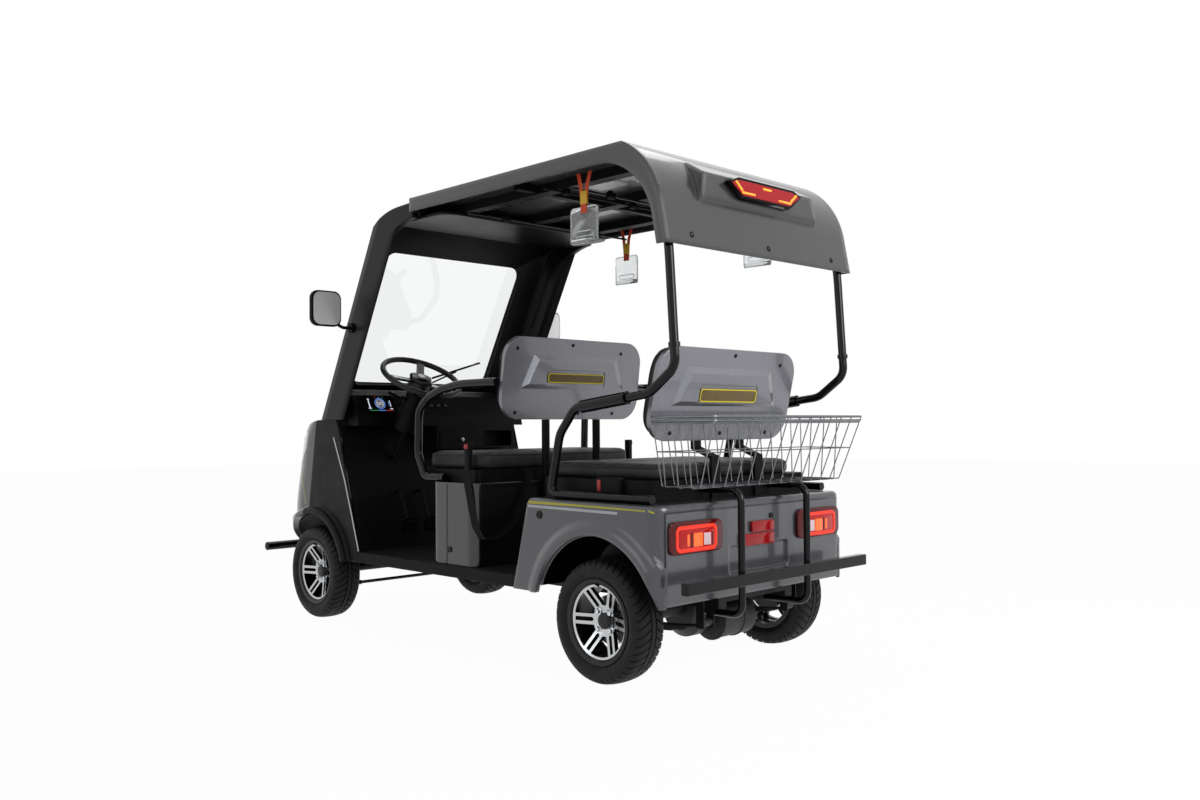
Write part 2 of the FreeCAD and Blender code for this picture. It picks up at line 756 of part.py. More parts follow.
def make_liners(x, arch_r, inside, lower):
    """Inner wheel housings: an arched strip that meets the arch's inner flange."""
    outer = arch_r - SEAT_GAP
    ring = arch_cutter(x, outer, 268, 600)
    ring = ring.cut(arch_cutter(x, outer - 4, 200, 700))
    ring = ring.common(box(x - 400, x + 400, 200, 600, lower, 900)).common(inside)
    return pair(ring)


# Windscreen frame with its header
def screen_block(inset):
    """Everything behind the front face of the cab, from the cowl up to the roof."""
    z0 = COWL_Z + 0.5
    half = CAB_HALF - inset
    front = SCREEN_FOOT_X + SCREEN_BULGE
    corner_x = front - SCREEN_SLOPE * (HEADER_Z - z0)
    rear = ROOF_FRONT + SEAT_GAP
    side = under_path([(front, z0), (corner_x, HEADER_Z), (rear, HEADER_REAR_Z)], SCREEN_BEND,
                      [(rear, z0)], half)
    edge = SCREEN_FOOT_X - 10
    shoulder = half - 150
    height = 900.0
    face = chain_face((edge - 1200, -half, z0), [
        ((edge - 40, -half, z0),), ((edge, 6 - half, z0),),
        ((front - 16, -shoulder - 62, z0), (front - 2, -shoulder + 10, z0)),
        ((front + 3, 0, z0), (front - 2, shoulder - 10, z0)),
        ((front - 16, shoulder + 62, z0), (edge, half - 6, z0)),
        ((edge - 40, half, z0),), ((edge - 1200, half, z0),),
    ])
    block = side.common(face.extrude(V(-(SCREEN_SLOPE + 0.02) * height, 0, height)))
    block.translate(V(-inset, 0, -inset * 0.4))
    return block


def screen_up():
    return V(OPEN_TOP[0] - OPEN_LOW[0], 0, OPEN_TOP[1] - OPEN_LOW[1]).normalize()


def screen_plane(grow, depth0, depth1):
    """Rounded opening square to the screen, from depth0 to depth1 ahead of its plane."""
    up = screen_up()
    height = V(OPEN_TOP[0] - OPEN_LOW[0], 0, OPEN_TOP[1] - OPEN_LOW[1]).Length
    slab = Part.makeBox(2 * (OPEN_HALF + grow), height + 2 * grow, depth1 - depth0,
                        V(-OPEN_HALF - grow, -grow, depth0))
    slab = round_edges(slab, OPEN_R + grow, V(0, 0, 1))
    matrix = FreeCAD.Matrix(0, up.x, up.z, OPEN_LOW[0], 1, up.y, 0, 0,
                            0, up.z, -up.x, OPEN_LOW[1], 0, 0, 0, 1)
    return slab.transformGeometry(matrix)


def make_windscreen_frame():
    shell = screen_block(0).cut(screen_block(PANEL_T))
    behind = screen_block(0)
    behind.translate(V(-PILLAR_DEEP, 0, -55))
    shell = shell.cut(behind).cut(screen_plane(0, -200, 200))
    return shell.cut(screen_plane(GLASS_LAP + 1, GLASS_OUT - GLASS_T - SEAT_GAP, 200))


def make_glass():
    return screen_plane(GLASS_LAP, GLASS_OUT - GLASS_T, GLASS_OUT)


def make_wiper():
    """Arm and blade parked low on the passenger side, outside the glass."""
    up = screen_up()
    out = V(up.z, 0, -up.x)

    def on_glass(y, along, lift):
        p = V(OPEN_LOW[0], y, OPEN_LOW[1]) + up * along + out * (GLASS_OUT + lift)
        return (p.x, p.y, p.z)

    post = rod(on_glass(-40, -30, 1.4), on_glass(-40, -30, 19), 9)
    arm = rod(on_glass(-40, -30, 15), on_glass(-215, 62, 14), 4)
    bridge = rod(on_glass(-215, 62, 14), on_glass(-208, 74, 8), 4)
    blade = rod(on_glass(-80, 28, 5.4), on_glass(-336, 120, 5.4), 5)
    return fuse([post, arm, bridge, blade])


def make_header_trim():
    """Moulding that closes the header from below and reaches back under the roof."""
    return pad(870, 1222, -462, 462, BEAM_Z - 14, BEAM_Z - SEAT_GAP, 70, V(0, 0, 1))


# Dashboard
DASH_HALF = CAB_HALF - PANEL_T - 12
DASH_LINE = [(1500, 856), (1510, 905), (1556, 990), (1600, 1012), (1640, 1018), (1660, 990),
             (1668, 940), (1656, 886), (1604, 885), (1590, 858)]
DASH_INNER = [(1506, 861), (1515, 903), (1560, 985), (1602, 1006), (1634, 1010), (1652, 986),
              (1660, 940), (1650, 891), (1601, 890), (1587, 864)]


def make_dashboard():
    shell = side_prism(DASH_LINE, -DASH_HALF, DASH_HALF)
    shell = shell.cut(side_prism(DASH_INNER, -DASH_HALF + 5, DASH_HALF - 5))
    return shell.cut(make_column(SEAT_GAP))


SHELF_REAR = 1486.0
SHELF_LOW = 748.0


def make_glove_shelf():
    """Box under the dashboard on the passenger side: an open cubby and a drawer front."""
    top = DASH_LINE[0][1] - SEAT_GAP
    low = SHELF_LOW
    shelf = side_prism([(SHELF_REAR, top), (SHELF_REAR, low), (toe_x(low) - SEAT_GAP, low),
                        (toe_x(top) - SEAT_GAP, top)], -398, 60)
    cubby = pad(SHELF_REAR - 6, 1564, -382, -214, low + 8, top - 26, 10, V(1, 0, 0))
    hollow = side_prism([(SHELF_REAR + 8, top - 6), (SHELF_REAR + 8, low + 6),
                         (toe_x(low) - 8, low + 6), (toe_x(top) - 8, top - 6)], -200, 54)
    drawer = pad(SHELF_REAR - 3, SHELF_REAR + 2, -196, 44, low + 10, top - 26, 8, V(1, 0, 0))
    return fuse([shelf.cut(cubby).cut(hollow), drawer])


def make_display():
    """Flat instrument screen on the sloping face of the dashboard."""
    (x0, z0), (x1, z1) = DASH_LINE[1], DASH_LINE[2]
    length = math.hypot(x1 - x0, z1 - z0)
    ux, uz = (x1 - x0) / length, (z1 - z0) / length

    def at(along, out):
        return (x0 + ux * along - uz * out, z0 + uz * along + ux * out)

    return side_prism([at(3, SEAT_GAP), at(92, SEAT_GAP), at(92, 9), at(3, 9)], 262, 415)


# Steering column and wheel
def steer_axis():
    tilt = math.radians(STEER_TILT)
    return V(-math.sin(tilt), 0, math.cos(tilt))


def make_steering_wheel():
    up = steer_axis()
    ring = Part.makeTorus(WHEEL_RING_R, WHEEL_GRIP_R)
    boss = soften(Part.makeCylinder(50, 26, V(0, 0, -40)), 8, lambda c: c.z > -15)
    pieces = [ring, boss, Part.makeCylinder(17, 24, V(0, 0, -60))]
    for angle in (90, 210, 330):
        spoke = Part.makeBox(WHEEL_RING_R - 20, 34, 7, V(20, -17, 0))
        spoke.rotate(V(20, 0, 0), V(0, 1, 0), -8)
        spoke.translate(V(0, 0, -24))
        spoke.rotate(V(0, 0, 0), V(0, 0, 1), angle)
        pieces.append(spoke)
    wheel = fuse(pieces)
    wheel.Placement = FreeCAD.Placement(V(*HUB), FreeCAD.Rotation(V(0, 0, 1), up))
    return wheel


def make_column(grow=0.0):
    """Shaft with its moulded cover, from under the wheel through the toe board."""
    up = steer_axis()
    hub = V(*HUB)
    top = hub - up * 61.0
    foot = hub - up * 560.0
    cover_top = hub - up * 75.0
    cover_foot = hub - up * 250.0
    shaft = Part.makeCylinder(12 + grow, (top - foot).Length, foot, up)
    cover = Part.makeCone(58 + grow, 40 + grow, (cover_top - cover_foot).Length, cover_foot, up)
    return fuse([shaft, cover])


# Roof
def roof_side(inset, half):
    """Side outline: flat top, long bend, then the rear face leaning in to the hem."""
    lean = math.tan(math.radians(ROOF_LEAN))
    base_x = ROOF_HEM_X + inset * math.cos(math.radians(ROOF_LEAN))
    base_z = ROOF_HEM_Z - inset * math.sin(math.radians(ROOF_LEAN))
    top = ROOF_CROWN - inset
    front = ROOF_FRONT - max(inset, 0)
    points = [(front, top), (base_x + (top - base_z) * lean, top),
              (base_x + (ROOF_HEM_Z - base_z) * lean, ROOF_HEM_Z)]
    return under_path(points, ROOF_BEND - inset, [(front, ROOF_HEM_Z)], half)


def roof_block(inset):
    half = ROOF_HALF - inset
    edge = ROOF_EDGE - inset
    crown = ROOF_CROWN - inset
    section = chain_face((-600, -half, edge), [
        ((-600, 0, crown), (-600, half, edge)), ((-600, half, 1300),), ((-600, -half, 1300),),
    ])
    return roof_side(inset, half).common(section.extrude(V(2000, 0, 0)))


def lip_cutter():
    """Space inside the rolled lip of the sides and the rear."""
    lean = math.tan(math.radians(ROOF_LEAN))
    base_x = ROOF_HEM_X + LIP_DEPTH / math.cos(math.radians(ROOF_LEAN))
    low = ROOF_HEM_Z - 22
    front = ROOF_FRONT + 5
    points = [(front, LIP_Z), (base_x + (LIP_Z - ROOF_HEM_Z) * lean, LIP_Z),
              (base_x - 22 * lean, low)]
    return under_path(points, ROOF_BEND - LIP_DEPTH, [(front, low)], 600)


POD_LOW = (-316.0, 1588.0)
POD_UNDER = 30.0
POD_TOP = (-306.0, 1668.0)
LAMP_REAR = -340.0


def pod_block(inset):
    """Raised wedge on the rear of the roof that carries the high lamp."""
    low = POD_LOW[1] - POD_UNDER + inset
    top = POD_TOP[1] - inset
    front = back_prism([(inset - 331, low), (331 - inset, low), (290 - inset, top + 60),
                        (inset - 290, top + 60)], -400, -100)
    slope = side_prism([(POD_LOW[0] + inset, POD_LOW[1]), (POD_TOP[0] + inset, top),
                        (-225, 1714 - inset), (-100, 1714 - inset), (-100, POD_LOW[1] - POD_UNDER),
                        (POD_LOW[0] + 18 + inset, POD_LOW[1] - POD_UNDER)], -600, 600)
    return front.common(slope)


def lamp_hexagon(grow, x0, x1):
    outline = [(-155, 1668), (155, 1668), (200, 1651), (137, 1603), (-137, 1603), (-200, 1651)]
    middle = 1636.0
    scaled = [(y * (1 + grow / 180.0), middle + (z - middle) * (1 + grow / 32.0))
              for y, z in outline]
    return back_prism(scaled, x0, x1)


def make_roof():
    """Skin with rolled lips, a closed front edge and the lamp pod."""
    inner = roof_block(ROOF_T)
    shell = roof_block(0).cut(inner).cut(lip_cutter())
    hollow = pod_block(ROOF_T).cut(roof_block(ROOF_T + 0.5))
    pod = pod_block(0).cut(inner).cut(pod_block(ROOF_T))
    socket = lamp_hexagon(SEAT_GAP, LAMP_REAR - 20, -296)
    return fuse([shell.cut(hollow), pod]).cut(socket)


def make_roof_lamp():
    """Housing with a sunk lens face."""
    body = lamp_hexagon(0, LAMP_REAR, -298)
    return body.cut(lamp_hexagon(-7, LAMP_REAR - 5, LAMP_REAR + 4))


BEAM_REAR = -140.0
BEAM_FRONT = ROOF_FRONT - ROOF_T - SEAT_GAP


def make_roof_beams():
    """Three lengthwise channels, end bows and the thin cross rod with its clamps."""
    bow = POST_Y - 11.2
    pieces = []
    for y in (-350.0, 0.0, 350.0):
        pieces.append(box(BEAM_REAR, BEAM_FRONT, y - 25, y + 25, BEAM_Z, BEAM_TOP))
    for x in (425.0, BEAM_FRONT - 30):
        pieces.append(box(x, x + 30, -bow, bow, BEAM_Z + 6, BEAM_TOP))
    bow = POST_Y - TUBE_R - SEAT_GAP
    pieces.append(box(BEAM_REAR, BEAM_REAR + 30, -bow, bow, BEAM_Z + 6, BEAM_TOP))
    pieces.append(rod((300, -POST_Y + 18, BEAM_Z - 9), (300, POST_Y - 18, BEAM_Z - 9), 5))
    for y in (-350.0, 0.0, 350.0):
        pieces.append(rod((300, y - 14, BEAM_Z - 9), (300, y + 14, BEAM_Z - 9), 12))
    return fuse(pieces)


def make_headliner():
    """Smooth panel close under the roof skin."""
    half = POST_Y - 18
    return box(BEAM_REAR, BEAM_FRONT, -half, half, BEAM_TOP + SEAT_GAP, BEAM_TOP + 6)


# Rear tub
def tub_block(inset, lip=0.0):
    """Rear body block with rounded rear corners; lip widens it without lengthening it."""
    half = TUB_HALF - inset + lip
    low = BODY_BOTTOM if inset == 0 else BODY_BOTTOM - 60
    slope = (TUB_FRONT_LOW - TUB_FRONT_TOP) / (TUB_TOP - BODY_BOTTOM)
    top = TUB_TOP - inset
    rear = TUB_REAR + inset
    block = side_prism([
        (TUB_FRONT_LOW + slope * (BODY_BOTTOM - low) - inset, low),
        (TUB_FRONT_TOP + slope * inset - inset, top), (rear, top), (rear, low),
    ], -half, half)
    block = soften(block, TUB_CORNER_R - inset,
                   lambda c: c.x < rear + 1 and abs(abs(c.y) - half) < 0.1)
    return soften(block, TUB_EDGE_R - inset, lambda c: c.z > top - 0.1 and (
        c.x < rear + TUB_CORNER_R or abs(abs(c.y) - half) < 0.1))


def make_tub():
    """Moulded rear body: open below, arches cut and swollen, room left for the panel."""
    inner = tub_block(WALL)
    shell = tub_block(0).cut(inner)
    shell = shell.cut(arch_cutter(0, REAR_ARCH_R + 2, 200, 600))
    shell = shell.cut(arch_cutter(0, REAR_ARCH_R + 2, -600, -200))
    lip = TUB_HALF + TUB_LIP_OUT
    outer = swell_ring(0, REAR_ARCH_R, REAR_SPREAD, TUB_HALF, lip, 0)
    outer = outer.common(tub_block(0, TUB_LIP_OUT)).cut(inner).common(box(-400, 500, 150, 600, 0, 900))
    hollow = swell_ring(0, REAR_ARCH_R, REAR_SPREAD, TUB_HALF, lip, WALL)
    hollow = hollow.common(tub_block(WALL, TUB_LIP_OUT)).common(box(-400, 500, 150, 600, 0, 900))
    shell = fuse([shell, outer, mirrored(outer)]).cut(pair(hollow))
    opening = box(TUB_REAR - 5, TUB_REAR + 60, -REAR_PANEL_HALF - SEAM, REAR_PANEL_HALF + SEAM,
                  BODY_BOTTOM - 10, REAR_PANEL_TOP + SEAM)
    notch = box(TUB_FRONT_LOW - 60, TUB_FRONT_LOW + 10, RAIL_Y - RAIL_HALF - 2,
                RAIL_Y + RAIL_HALF + 2, BODY_BOTTOM - 10, RAIL_TOP + 2)
    return shell.cut(opening).cut(pair(notch))


PLATE_HALF = 165.0
PLATE_LOW = 352.0
PLATE_TOP = 446.0


def make_rear_panel():
    """Rear access panel with the sunk number plate pocket."""
    face = box(TUB_REAR, TUB_REAR + WALL, -REAR_PANEL_HALF, REAR_PANEL_HALF, BODY_BOTTOM + 6,
               REAR_PANEL_TOP)
    tray = pad(TUB_REAR, TUB_REAR + 14, -PLATE_HALF - 4, PLATE_HALF + 4, PLATE_LOW - 4,
               PLATE_TOP + 4, 20, V(1, 0, 0))
    pocket = pad(TUB_REAR - 1, TUB_REAR + 10, -PLATE_HALF, PLATE_HALF, PLATE_LOW, PLATE_TOP,
                 16, V(1, 0, 0))
    return fuse([face, tray]).cut(pocket)


def make_tail_lamps():
    lens = pad(TUB_REAR - 14, TUB_REAR - SEAT_GAP, LAMP_Y - LAMP_HALF_Y, LAMP_Y + LAMP_HALF_Y,
               LAMP_Z - LAMP_HALF_Z, LAMP_Z + LAMP_HALF_Z, 22, V(1, 0, 0))
    return pair(soften(lens, 5, lambda c: c.x < TUB_REAR - 13.9))


def make_reflectors():
    """Centre red pair above the plate pocket."""
    x0 = TUB_REAR - 10
    x1 = TUB_REAR - SEAT_GAP
    upper = pad(x0, x1, -79, 60, 487, 521, 5, V(1, 0, 0))
    lower = pad(x0 - 2, x1, -84, 96, 452, 484, 5, V(1, 0, 0))
    return Part.makeCompound([upper, lower])


# Seats
def make_cushion(x0, x1, half, z0, z1):
    return pad(x0, x1, -half, half, z0, z1, 60, V(0, 0, 1))


def lean_back(shape, place):
    """Lean a board drawn upright at the origin onto the line of a backrest."""
    low_x, z0, high_x, z1, half = place
    lean = math.degrees(math.atan2(low_x - high_x, z1 - z0))
    shape = shape.copy()
    shape.rotate(V(0, 0, 0), V(0, 1, 0), -lean)
    shape.translate(V(low_x, 0, z0))
    return shape


def back_height(place):
    return math.hypot(place[0] - place[2], place[3] - place[1])


def back_board(place):
    """Moulded rear shell: rounded board, raised trapezoid and a sunk badge place."""
    half = place[4]
    high = back_height(place)
    board = pad(0, BOARD_T, -half, half, 0, high, 88, V(1, 0, 0))
    base = [(-half + 88, 0.37 * high), (half - 88, 0.37 * high), (half - 145, 0.80 * high),
            (145 - half, 0.80 * high)]
    face = [(-half + 125, 0.43 * high), (half - 125, 0.43 * high), (half - 172, 0.73 * high),
            (172 - half, 0.73 * high)]
    raised = Part.makeLoft([loop([(1, y, z) for y, z in base]),
                            loop([(-9, y, z) for y, z in face])], True, True)
    badge = pad(-12, -6, -160, 160, 0.5 * high - 36, 0.5 * high + 36, 12, V(1, 0, 0))
    return lean_back(fuse([board, raised]).cut(badge), place)


def back_pad(place, thick):
    x0 = BOARD_T + SEAT_GAP
    half = place[4] - 6
    high = back_height(place)
    return lean_back(pad(x0, x0 + thick, -half, half, 4, high - 4, 84, V(1, 0, 0)), place)


def make_pedestal():
    """Moulded box under the front seat with a pressed rib at each side."""
    x0, x1, half, top = PEDESTAL_REAR, PEDESTAL_FRONT, PEDESTAL_HALF, PEDESTAL_TOP
    outer = pad(x0, x1, -half, half, FLOOR_TOP, top, 40, V(0, 0, 1))
    inner = pad(x0 + 4, x1 - 4, 4 - half, half - 4, FLOOR_TOP - 1, top - 4, 36, V(0, 0, 1))
    shell = outer.cut(inner)
    ribs = [box(836, 846, y - 3, y + 3, FLOOR_TOP + 4, top - 4) for y in (half, -half)]
    return fuse([shell] + ribs)


def make_battery():
    return box(716, 896, -330, 330, FLOOR_TOP + SEAT_GAP, 560)


def make_front_posts():
    x = PEDESTAL_REAR - 16 - SEAT_GAP
    return pair(rod((x, 140, 520), (x, 140, FRONT_BACK[1] - SEAT_GAP), 16))


def make_rear_posts():
    """Flat bars from behind the seat base up to the backrest."""
    x = DECK_REAR - SEAT_GAP
    top = REAR_BACK[1] - SEAT_GAP
    bar = side_prism([(x - 10, TUB_TOP + SEAT_GAP), (x, TUB_TOP + SEAT_GAP), (x, 733),
                      (-102.5, 766), (-102.5, top), (-112.5, top), (-112.5, 774),
                      (x - 10, 741)], 98, 143)
    return pair(bar)


def make_deck():
    """Black seat base on the rear body."""
    return pad(DECK_REAR, 350, -DECK_HALF, DECK_HALF, TUB_TOP + SEAT_GAP, DECK_TOP, 40, V(0, 0, 1))


def make_buckles():
    """Front seat buckles on both sides and the rear belt boxes."""
    front = pad(742, 770, FRONT_SEAT_HALF + SEAT_GAP, FRONT_SEAT_HALF + 24, TRAY_TOP + SEAT_GAP,
                786, 6, V(0, 0, 1))
    rear = pad(-56, 52, DECK_HALF + SEAT_GAP, DECK_HALF + 20, 622, 676, 5, V(0, 1, 0))
    return Part.makeCompound([front, mirrored(front), rear, mirrored(rear)])


# Tubes
def rear_frame_side():
    """One tube each side: roof rail, rear pole, armrest and seat side rail."""
    y = POST_Y
    pts = [(BEAM_FRONT, y, ROOF_TUBE_Z), (-240, y, ROOF_TUBE_Z), (-303, y, 1420),
           (-326, y, 1030), (-215, y, 950), (128, y, 909), (205, y, 820), (252, y, 613.3),
           (-225, y, 613.3)]
    rail = tube(pts, TUBE_R, [250, 700, 60, 90, 55, 90, 24])
    clamp = rod((-322.4, y, 1092), (-321.6, y, 1106), TUBE_R + 4)
    return fuse([rail, clamp])


def make_arm_pads():
    a = V(-118, POST_Y, 938.4)
    b = V(92, POST_Y, 913.3)
    run = b - a
    sleeve = Part.makeCylinder(TUBE_R + 7, run.Length, a, run)
    bore = Part.makeCylinder(TUBE_R + SEAT_GAP, run.Length * 1.2, a - run * 0.1, run)
    return pair(sleeve.cut(bore))


def front_arm_side():
    """Loop from the seat base up to the backrest, tied to its side by a stub."""
    y = 462.0
    radius = TUBE_R + 1
    foot = PEDESTAL_TOP + radius + SEAT_GAP
    pts = [(880, y, foot), (1010, y, foot), (1058, y, 740), (1052, y, 915), (985, y, 968),
           (900, y, 996), (779, y, 1013), (560, y, 1013)]
    stub = rod((668, FRONT_BACK[4] - 6 + SEAT_GAP, 1013), (668, y, 1013), 9)
    return fuse([tube(pts, radius, [30, 60, 60, 60, 200, 400]), stub])


def guard_side():
    y = GUARD_Y
    top = BASKET_FLOOR - 2 * WIRE_R - 0.7 - GUARD_R
    low = RAIL_BOTTOM - GUARD_R - SEAT_GAP
    pts = [(DECK_REAR - SEAT_GAP, y, top), (GUARD_X, y, top), (GUARD_X, y, low), (-170, y, low)]
    return tube(pts, GUARD_R, 40)


def make_bumper_bar():
    rear = GUARD_X - GUARD_R - SEAT_GAP
    return pad(rear - 30, rear, -500, 500, 331, 369, 3, V(0, 1, 0))


def make_front_bumper():
    x = BUMPER_X
    z = BUMPER_Z
    pieces = [rod((x, -BUMPER_HALF, z), (x, BUMPER_HALF, z), BUMPER_R)]
    for side in (1, -1):
        y = side * 300
        pieces.append(tube([(x, y, z), (x, y, 462), (2124, y, 500)], 12, 26))
        y0, y1 = side * RAIL_Y - 16, side * RAIL_Y + 16
        pieces.append(box(RAIL_FRONT + SEAT_GAP, x, y0, y1, 262, 300))
    return fuse(pieces)


# Basket
def basket_level(z):
    """Front X, rear X and half width of the basket at a height."""
    t = (z - BASKET_FLOOR) / (BASKET_RIM - BASKET_FLOOR)
    low_x, low_z, high_x, high_z, _ = REAR_BACK
    board = low_x + (BASKET_RIM - low_z) * (high_x - low_x) / (high_z - low_z)
    front = BASKET_FRONT + (board - BASKET_BACK_GAP - BASKET_FRONT) * t
    return front, -352 - 82 * t, 400 + 25 * t


def basket_ring(z, radius):
    front, rear, half = basket_level(z)
    ring = [(front, -half, z), (front, half, z), (rear, half, z), (rear, -half, z)]
    return closed_tube(ring, radius, 20)


def make_basket():
    """Welded wire basket: upright U wires both ways and three rings."""
    pieces = []
    count = 14
    front, rear, half = basket_level(BASKET_FLOOR)
    rim_front, rim_rear, rim_half = basket_level(BASKET_RIM)
    for i in range(count):
        y = (half - 10) * (2.0 * i / (count - 1) - 1)
        top = y * rim_half / half
        pieces.append(tube([(rim_front, top, BASKET_RIM), (front, y, BASKET_FLOOR),
                            (rear, y, BASKET_FLOOR), (rim_rear, top, BASKET_RIM)], WIRE_R, 8))
    low = BASKET_FLOOR - 2.7
    for x in (-215.0, -270.0, -325.0):
        pieces.append(tube([(x, rim_half, BASKET_RIM), (x, half, low), (x, -half, low),
                            (x, -rim_half, BASKET_RIM)], WIRE_R, 8))
    pieces.append(basket_ring(BASKET_RIM, RIM_WIRE_R))
    pieces.append(basket_ring(BASKET_RIM - 20, WIRE_R + 1))
    pieces.append(basket_ring((BASKET_RIM + BASKET_FLOOR) / 2, WIRE_R))
    return fuse(pieces)


# Mirrors
def mirror_head():
    head = pad(1478, 1502, 560, 700, 1275, 1425, 34, V(1, 0, 0))
    head = soften(head, 10, lambda c: c.x > 1501.9)
    foot_y = CAB_HALF + SEAT_GAP
    arm = tube([(1490, foot_y, 1275), (1490, 545, 1275), (1490, 600, 1300)], 7, 18)
    foot = pad(1474, 1506, foot_y, foot_y + 10, 1256, 1296, 8, V(0, 1, 0))
    return fuse([head, arm, foot])


def mirror_glass():
    return pad(1474, 1477.7, 566, 694, 1281, 1419, 29, V(1, 0, 0))


# Grab handles: a strap and a clear plate with a thick lower bar
HANDLES = ((110.0, 440.0), (40.0, -440.0), (746.0, -430.0))
PLATE_Z = 1598.0


def make_handle_straps():
    straps = [box(x - 14, x + 14, y - 1.5, y + 1.5, PLATE_Z - 2, BEAM_TOP) for x, y in HANDLES]
    return Part.makeCompound(straps)


def make_handle_plates():
    plates = []
    for x, y in HANDLES:
        sheet = pad(x - 60, x + 60, y - 2, y + 2, PLATE_Z - 116, PLATE_Z - 2.3, 12, V(0, 1, 0))
        bar = pad(x - 60, x + 60, y - 8, y + 8, PLATE_Z - 122, PLATE_Z - 106, 6, V(0, 1, 0))
        window = pad(x - 34, x + 34, y - 5, y + 5, PLATE_Z - 40, PLATE_Z - 22, 6, V(0, 1, 0))
        plates.append(fuse([sheet, bar]).cut(window))
    return Part.makeCompound(plates)


def build_running_gear():
    make_wheels()
    keep("front_axle", make_front_axle())
    keep("knuckle_left", make_knuckle(1))
    keep("knuckle_right", make_knuckle(-1))
    keep("tie_rod", make_tie_rod())
    keep("rear_axle", make_rear_axle())
    keep("front_springs", make_springs(FRONT_SPRING))
    keep("rear_springs", make_springs(REAR_SPRING))
    keep("frame_rails", pair(make_rail()))
    keep("cross_members", make_cross_members())


def build_front():
    keep("floor_pan", make_floor())
    keep("toe_board", make_toe_board())
    keep("pedals", make_pedals())
    skin = nose_skin()
    keep("nose_shell", skin.cut(panel_zone(SEAM)).cut(lamp_zone(1.0)))
    keep("side_panels", skin.common(panel_zone(0)))
    keep("headlamps", make_headlamps())
    keep("front_liners", make_liners(WHEELBASE, FRONT_ARCH_R, nose_block(WALL + SEAT_GAP), 335))
    keep("windscreen_frame", Part.makeCompound([make_windscreen_frame(), make_header_trim()]))
    keep("windscreen_glass", make_glass())
    keep("wiper", make_wiper())
    keep("dashboard", Part.makeCompound([make_dashboard(), make_display()]))
    keep("glove_shelf", make_glove_shelf())
    keep("steering_wheel", make_steering_wheel())
    keep("steering_column", make_column())
    keep("mirrors", Part.makeCompound([pair(mirror_head()), pair(mirror_glass())]))
    keep("front_bumper", make_front_bumper())


def build_roof():
    keep("roof_shell", make_roof())
    keep("roof_lamp", make_roof_lamp())
    keep("roof_beams", make_roof_beams())
    keep("headliner", make_headliner())
    keep("grab_handles", Part.makeCompound([make_handle_straps(), make_handle_plates()]))


def build_rear():
    liners = make_liners(0.0, REAR_ARCH_R, tub_block(WALL + SEAT_GAP), 300)
    keep("rear_tub", Part.makeCompound([make_tub(), liners]))
    keep("rear_panel", make_rear_panel())
    keep("tail_lamps", Part.makeCompound([make_tail_lamps(), make_reflectors()]))
    keep("rear_deck", make_deck())
    keep("rear_frame_tubes", Part.makeCompound([pair(rear_frame_side()), make_arm_pads()]))
    keep("rear_guards", pair(guard_side()))
    keep("bumper_bar", make_bumper_bar())
    keep("basket", make_basket())


def build_seats():
    keep("seat_pedestal", make_pedestal())
    keep("battery", make_battery())
    keep("front_seat_tray", pad(702, 1060, -440, 440, PEDESTAL_TOP + SEAT_GAP, TRAY_TOP, 20,
                                V(0, 0, 1)))
    keep("front_cushion", make_cushion(700, 1080, FRONT_SEAT_HALF, TRAY_TOP + SEAT_GAP, 752))
    keep("rear_cushion", make_cushion(-168, 385, REAR_SEAT_HALF, DECK_TOP + SEAT_GAP, 722))
    keep("front_backrest", back_board(FRONT_BACK))
    keep("rear_backrest", back_board(REAR_BACK))
    keep("front_backrest_pad", back_pad(FRONT_BACK, 44))
    keep("rear_backrest_pad", back_pad(REAR_BACK, 46))
    keep("front_posts", make_front_posts())
    keep("rear_posts", make_rear_posts())
    keep("front_armrests", pair(front_arm_side()))
    keep("belt_buckles", make_buckles())


build_running_gear()
build_front()
build_roof()
build_rear()
build_seats()
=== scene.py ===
import math

import bpy
from mathutils import Matrix, Vector


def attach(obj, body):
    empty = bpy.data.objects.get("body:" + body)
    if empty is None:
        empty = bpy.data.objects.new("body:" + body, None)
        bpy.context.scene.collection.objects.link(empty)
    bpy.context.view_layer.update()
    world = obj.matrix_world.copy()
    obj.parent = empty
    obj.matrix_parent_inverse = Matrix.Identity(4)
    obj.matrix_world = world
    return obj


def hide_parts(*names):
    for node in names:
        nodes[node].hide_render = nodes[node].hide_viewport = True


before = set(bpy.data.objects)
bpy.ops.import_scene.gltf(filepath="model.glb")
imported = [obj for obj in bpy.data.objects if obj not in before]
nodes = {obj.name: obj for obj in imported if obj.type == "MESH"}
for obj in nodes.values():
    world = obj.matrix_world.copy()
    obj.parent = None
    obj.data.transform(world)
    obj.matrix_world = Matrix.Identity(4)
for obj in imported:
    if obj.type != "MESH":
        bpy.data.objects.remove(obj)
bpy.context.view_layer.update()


# Chassis: welded box-section rails, cross members, axles and knuckles under the floor, of
# mild steel dipped in black enamel, which dulls and picks up pale road dust. The leaf
# springs are oiled spring steel and the rear axle is a rough sand-cast housing.
def linear(code):
    """Six sRGB hex digits as the linear colour that sockets take."""
    parts = [int(code[i:i + 2], 16) / 255 for i in (0, 2, 4)]
    return [c / 12.92 if c <= 0.04045 else ((c + 0.055) / 1.055) ** 2.4 for c in parts] + [1.0]


def add(tree, kind, inputs=(), **settings):
    """Adds one shader node with its settings; an input is a number or another node's output."""
    made = tree.nodes.new("ShaderNode" + kind)
    for name, value in settings.items():
        setattr(made, name, value)
    for name, value in dict(inputs).items():
        if isinstance(value, bpy.types.NodeSocket):
            tree.links.new(value, made.inputs[name])
        else:
            made.inputs[name].default_value = value
    return made


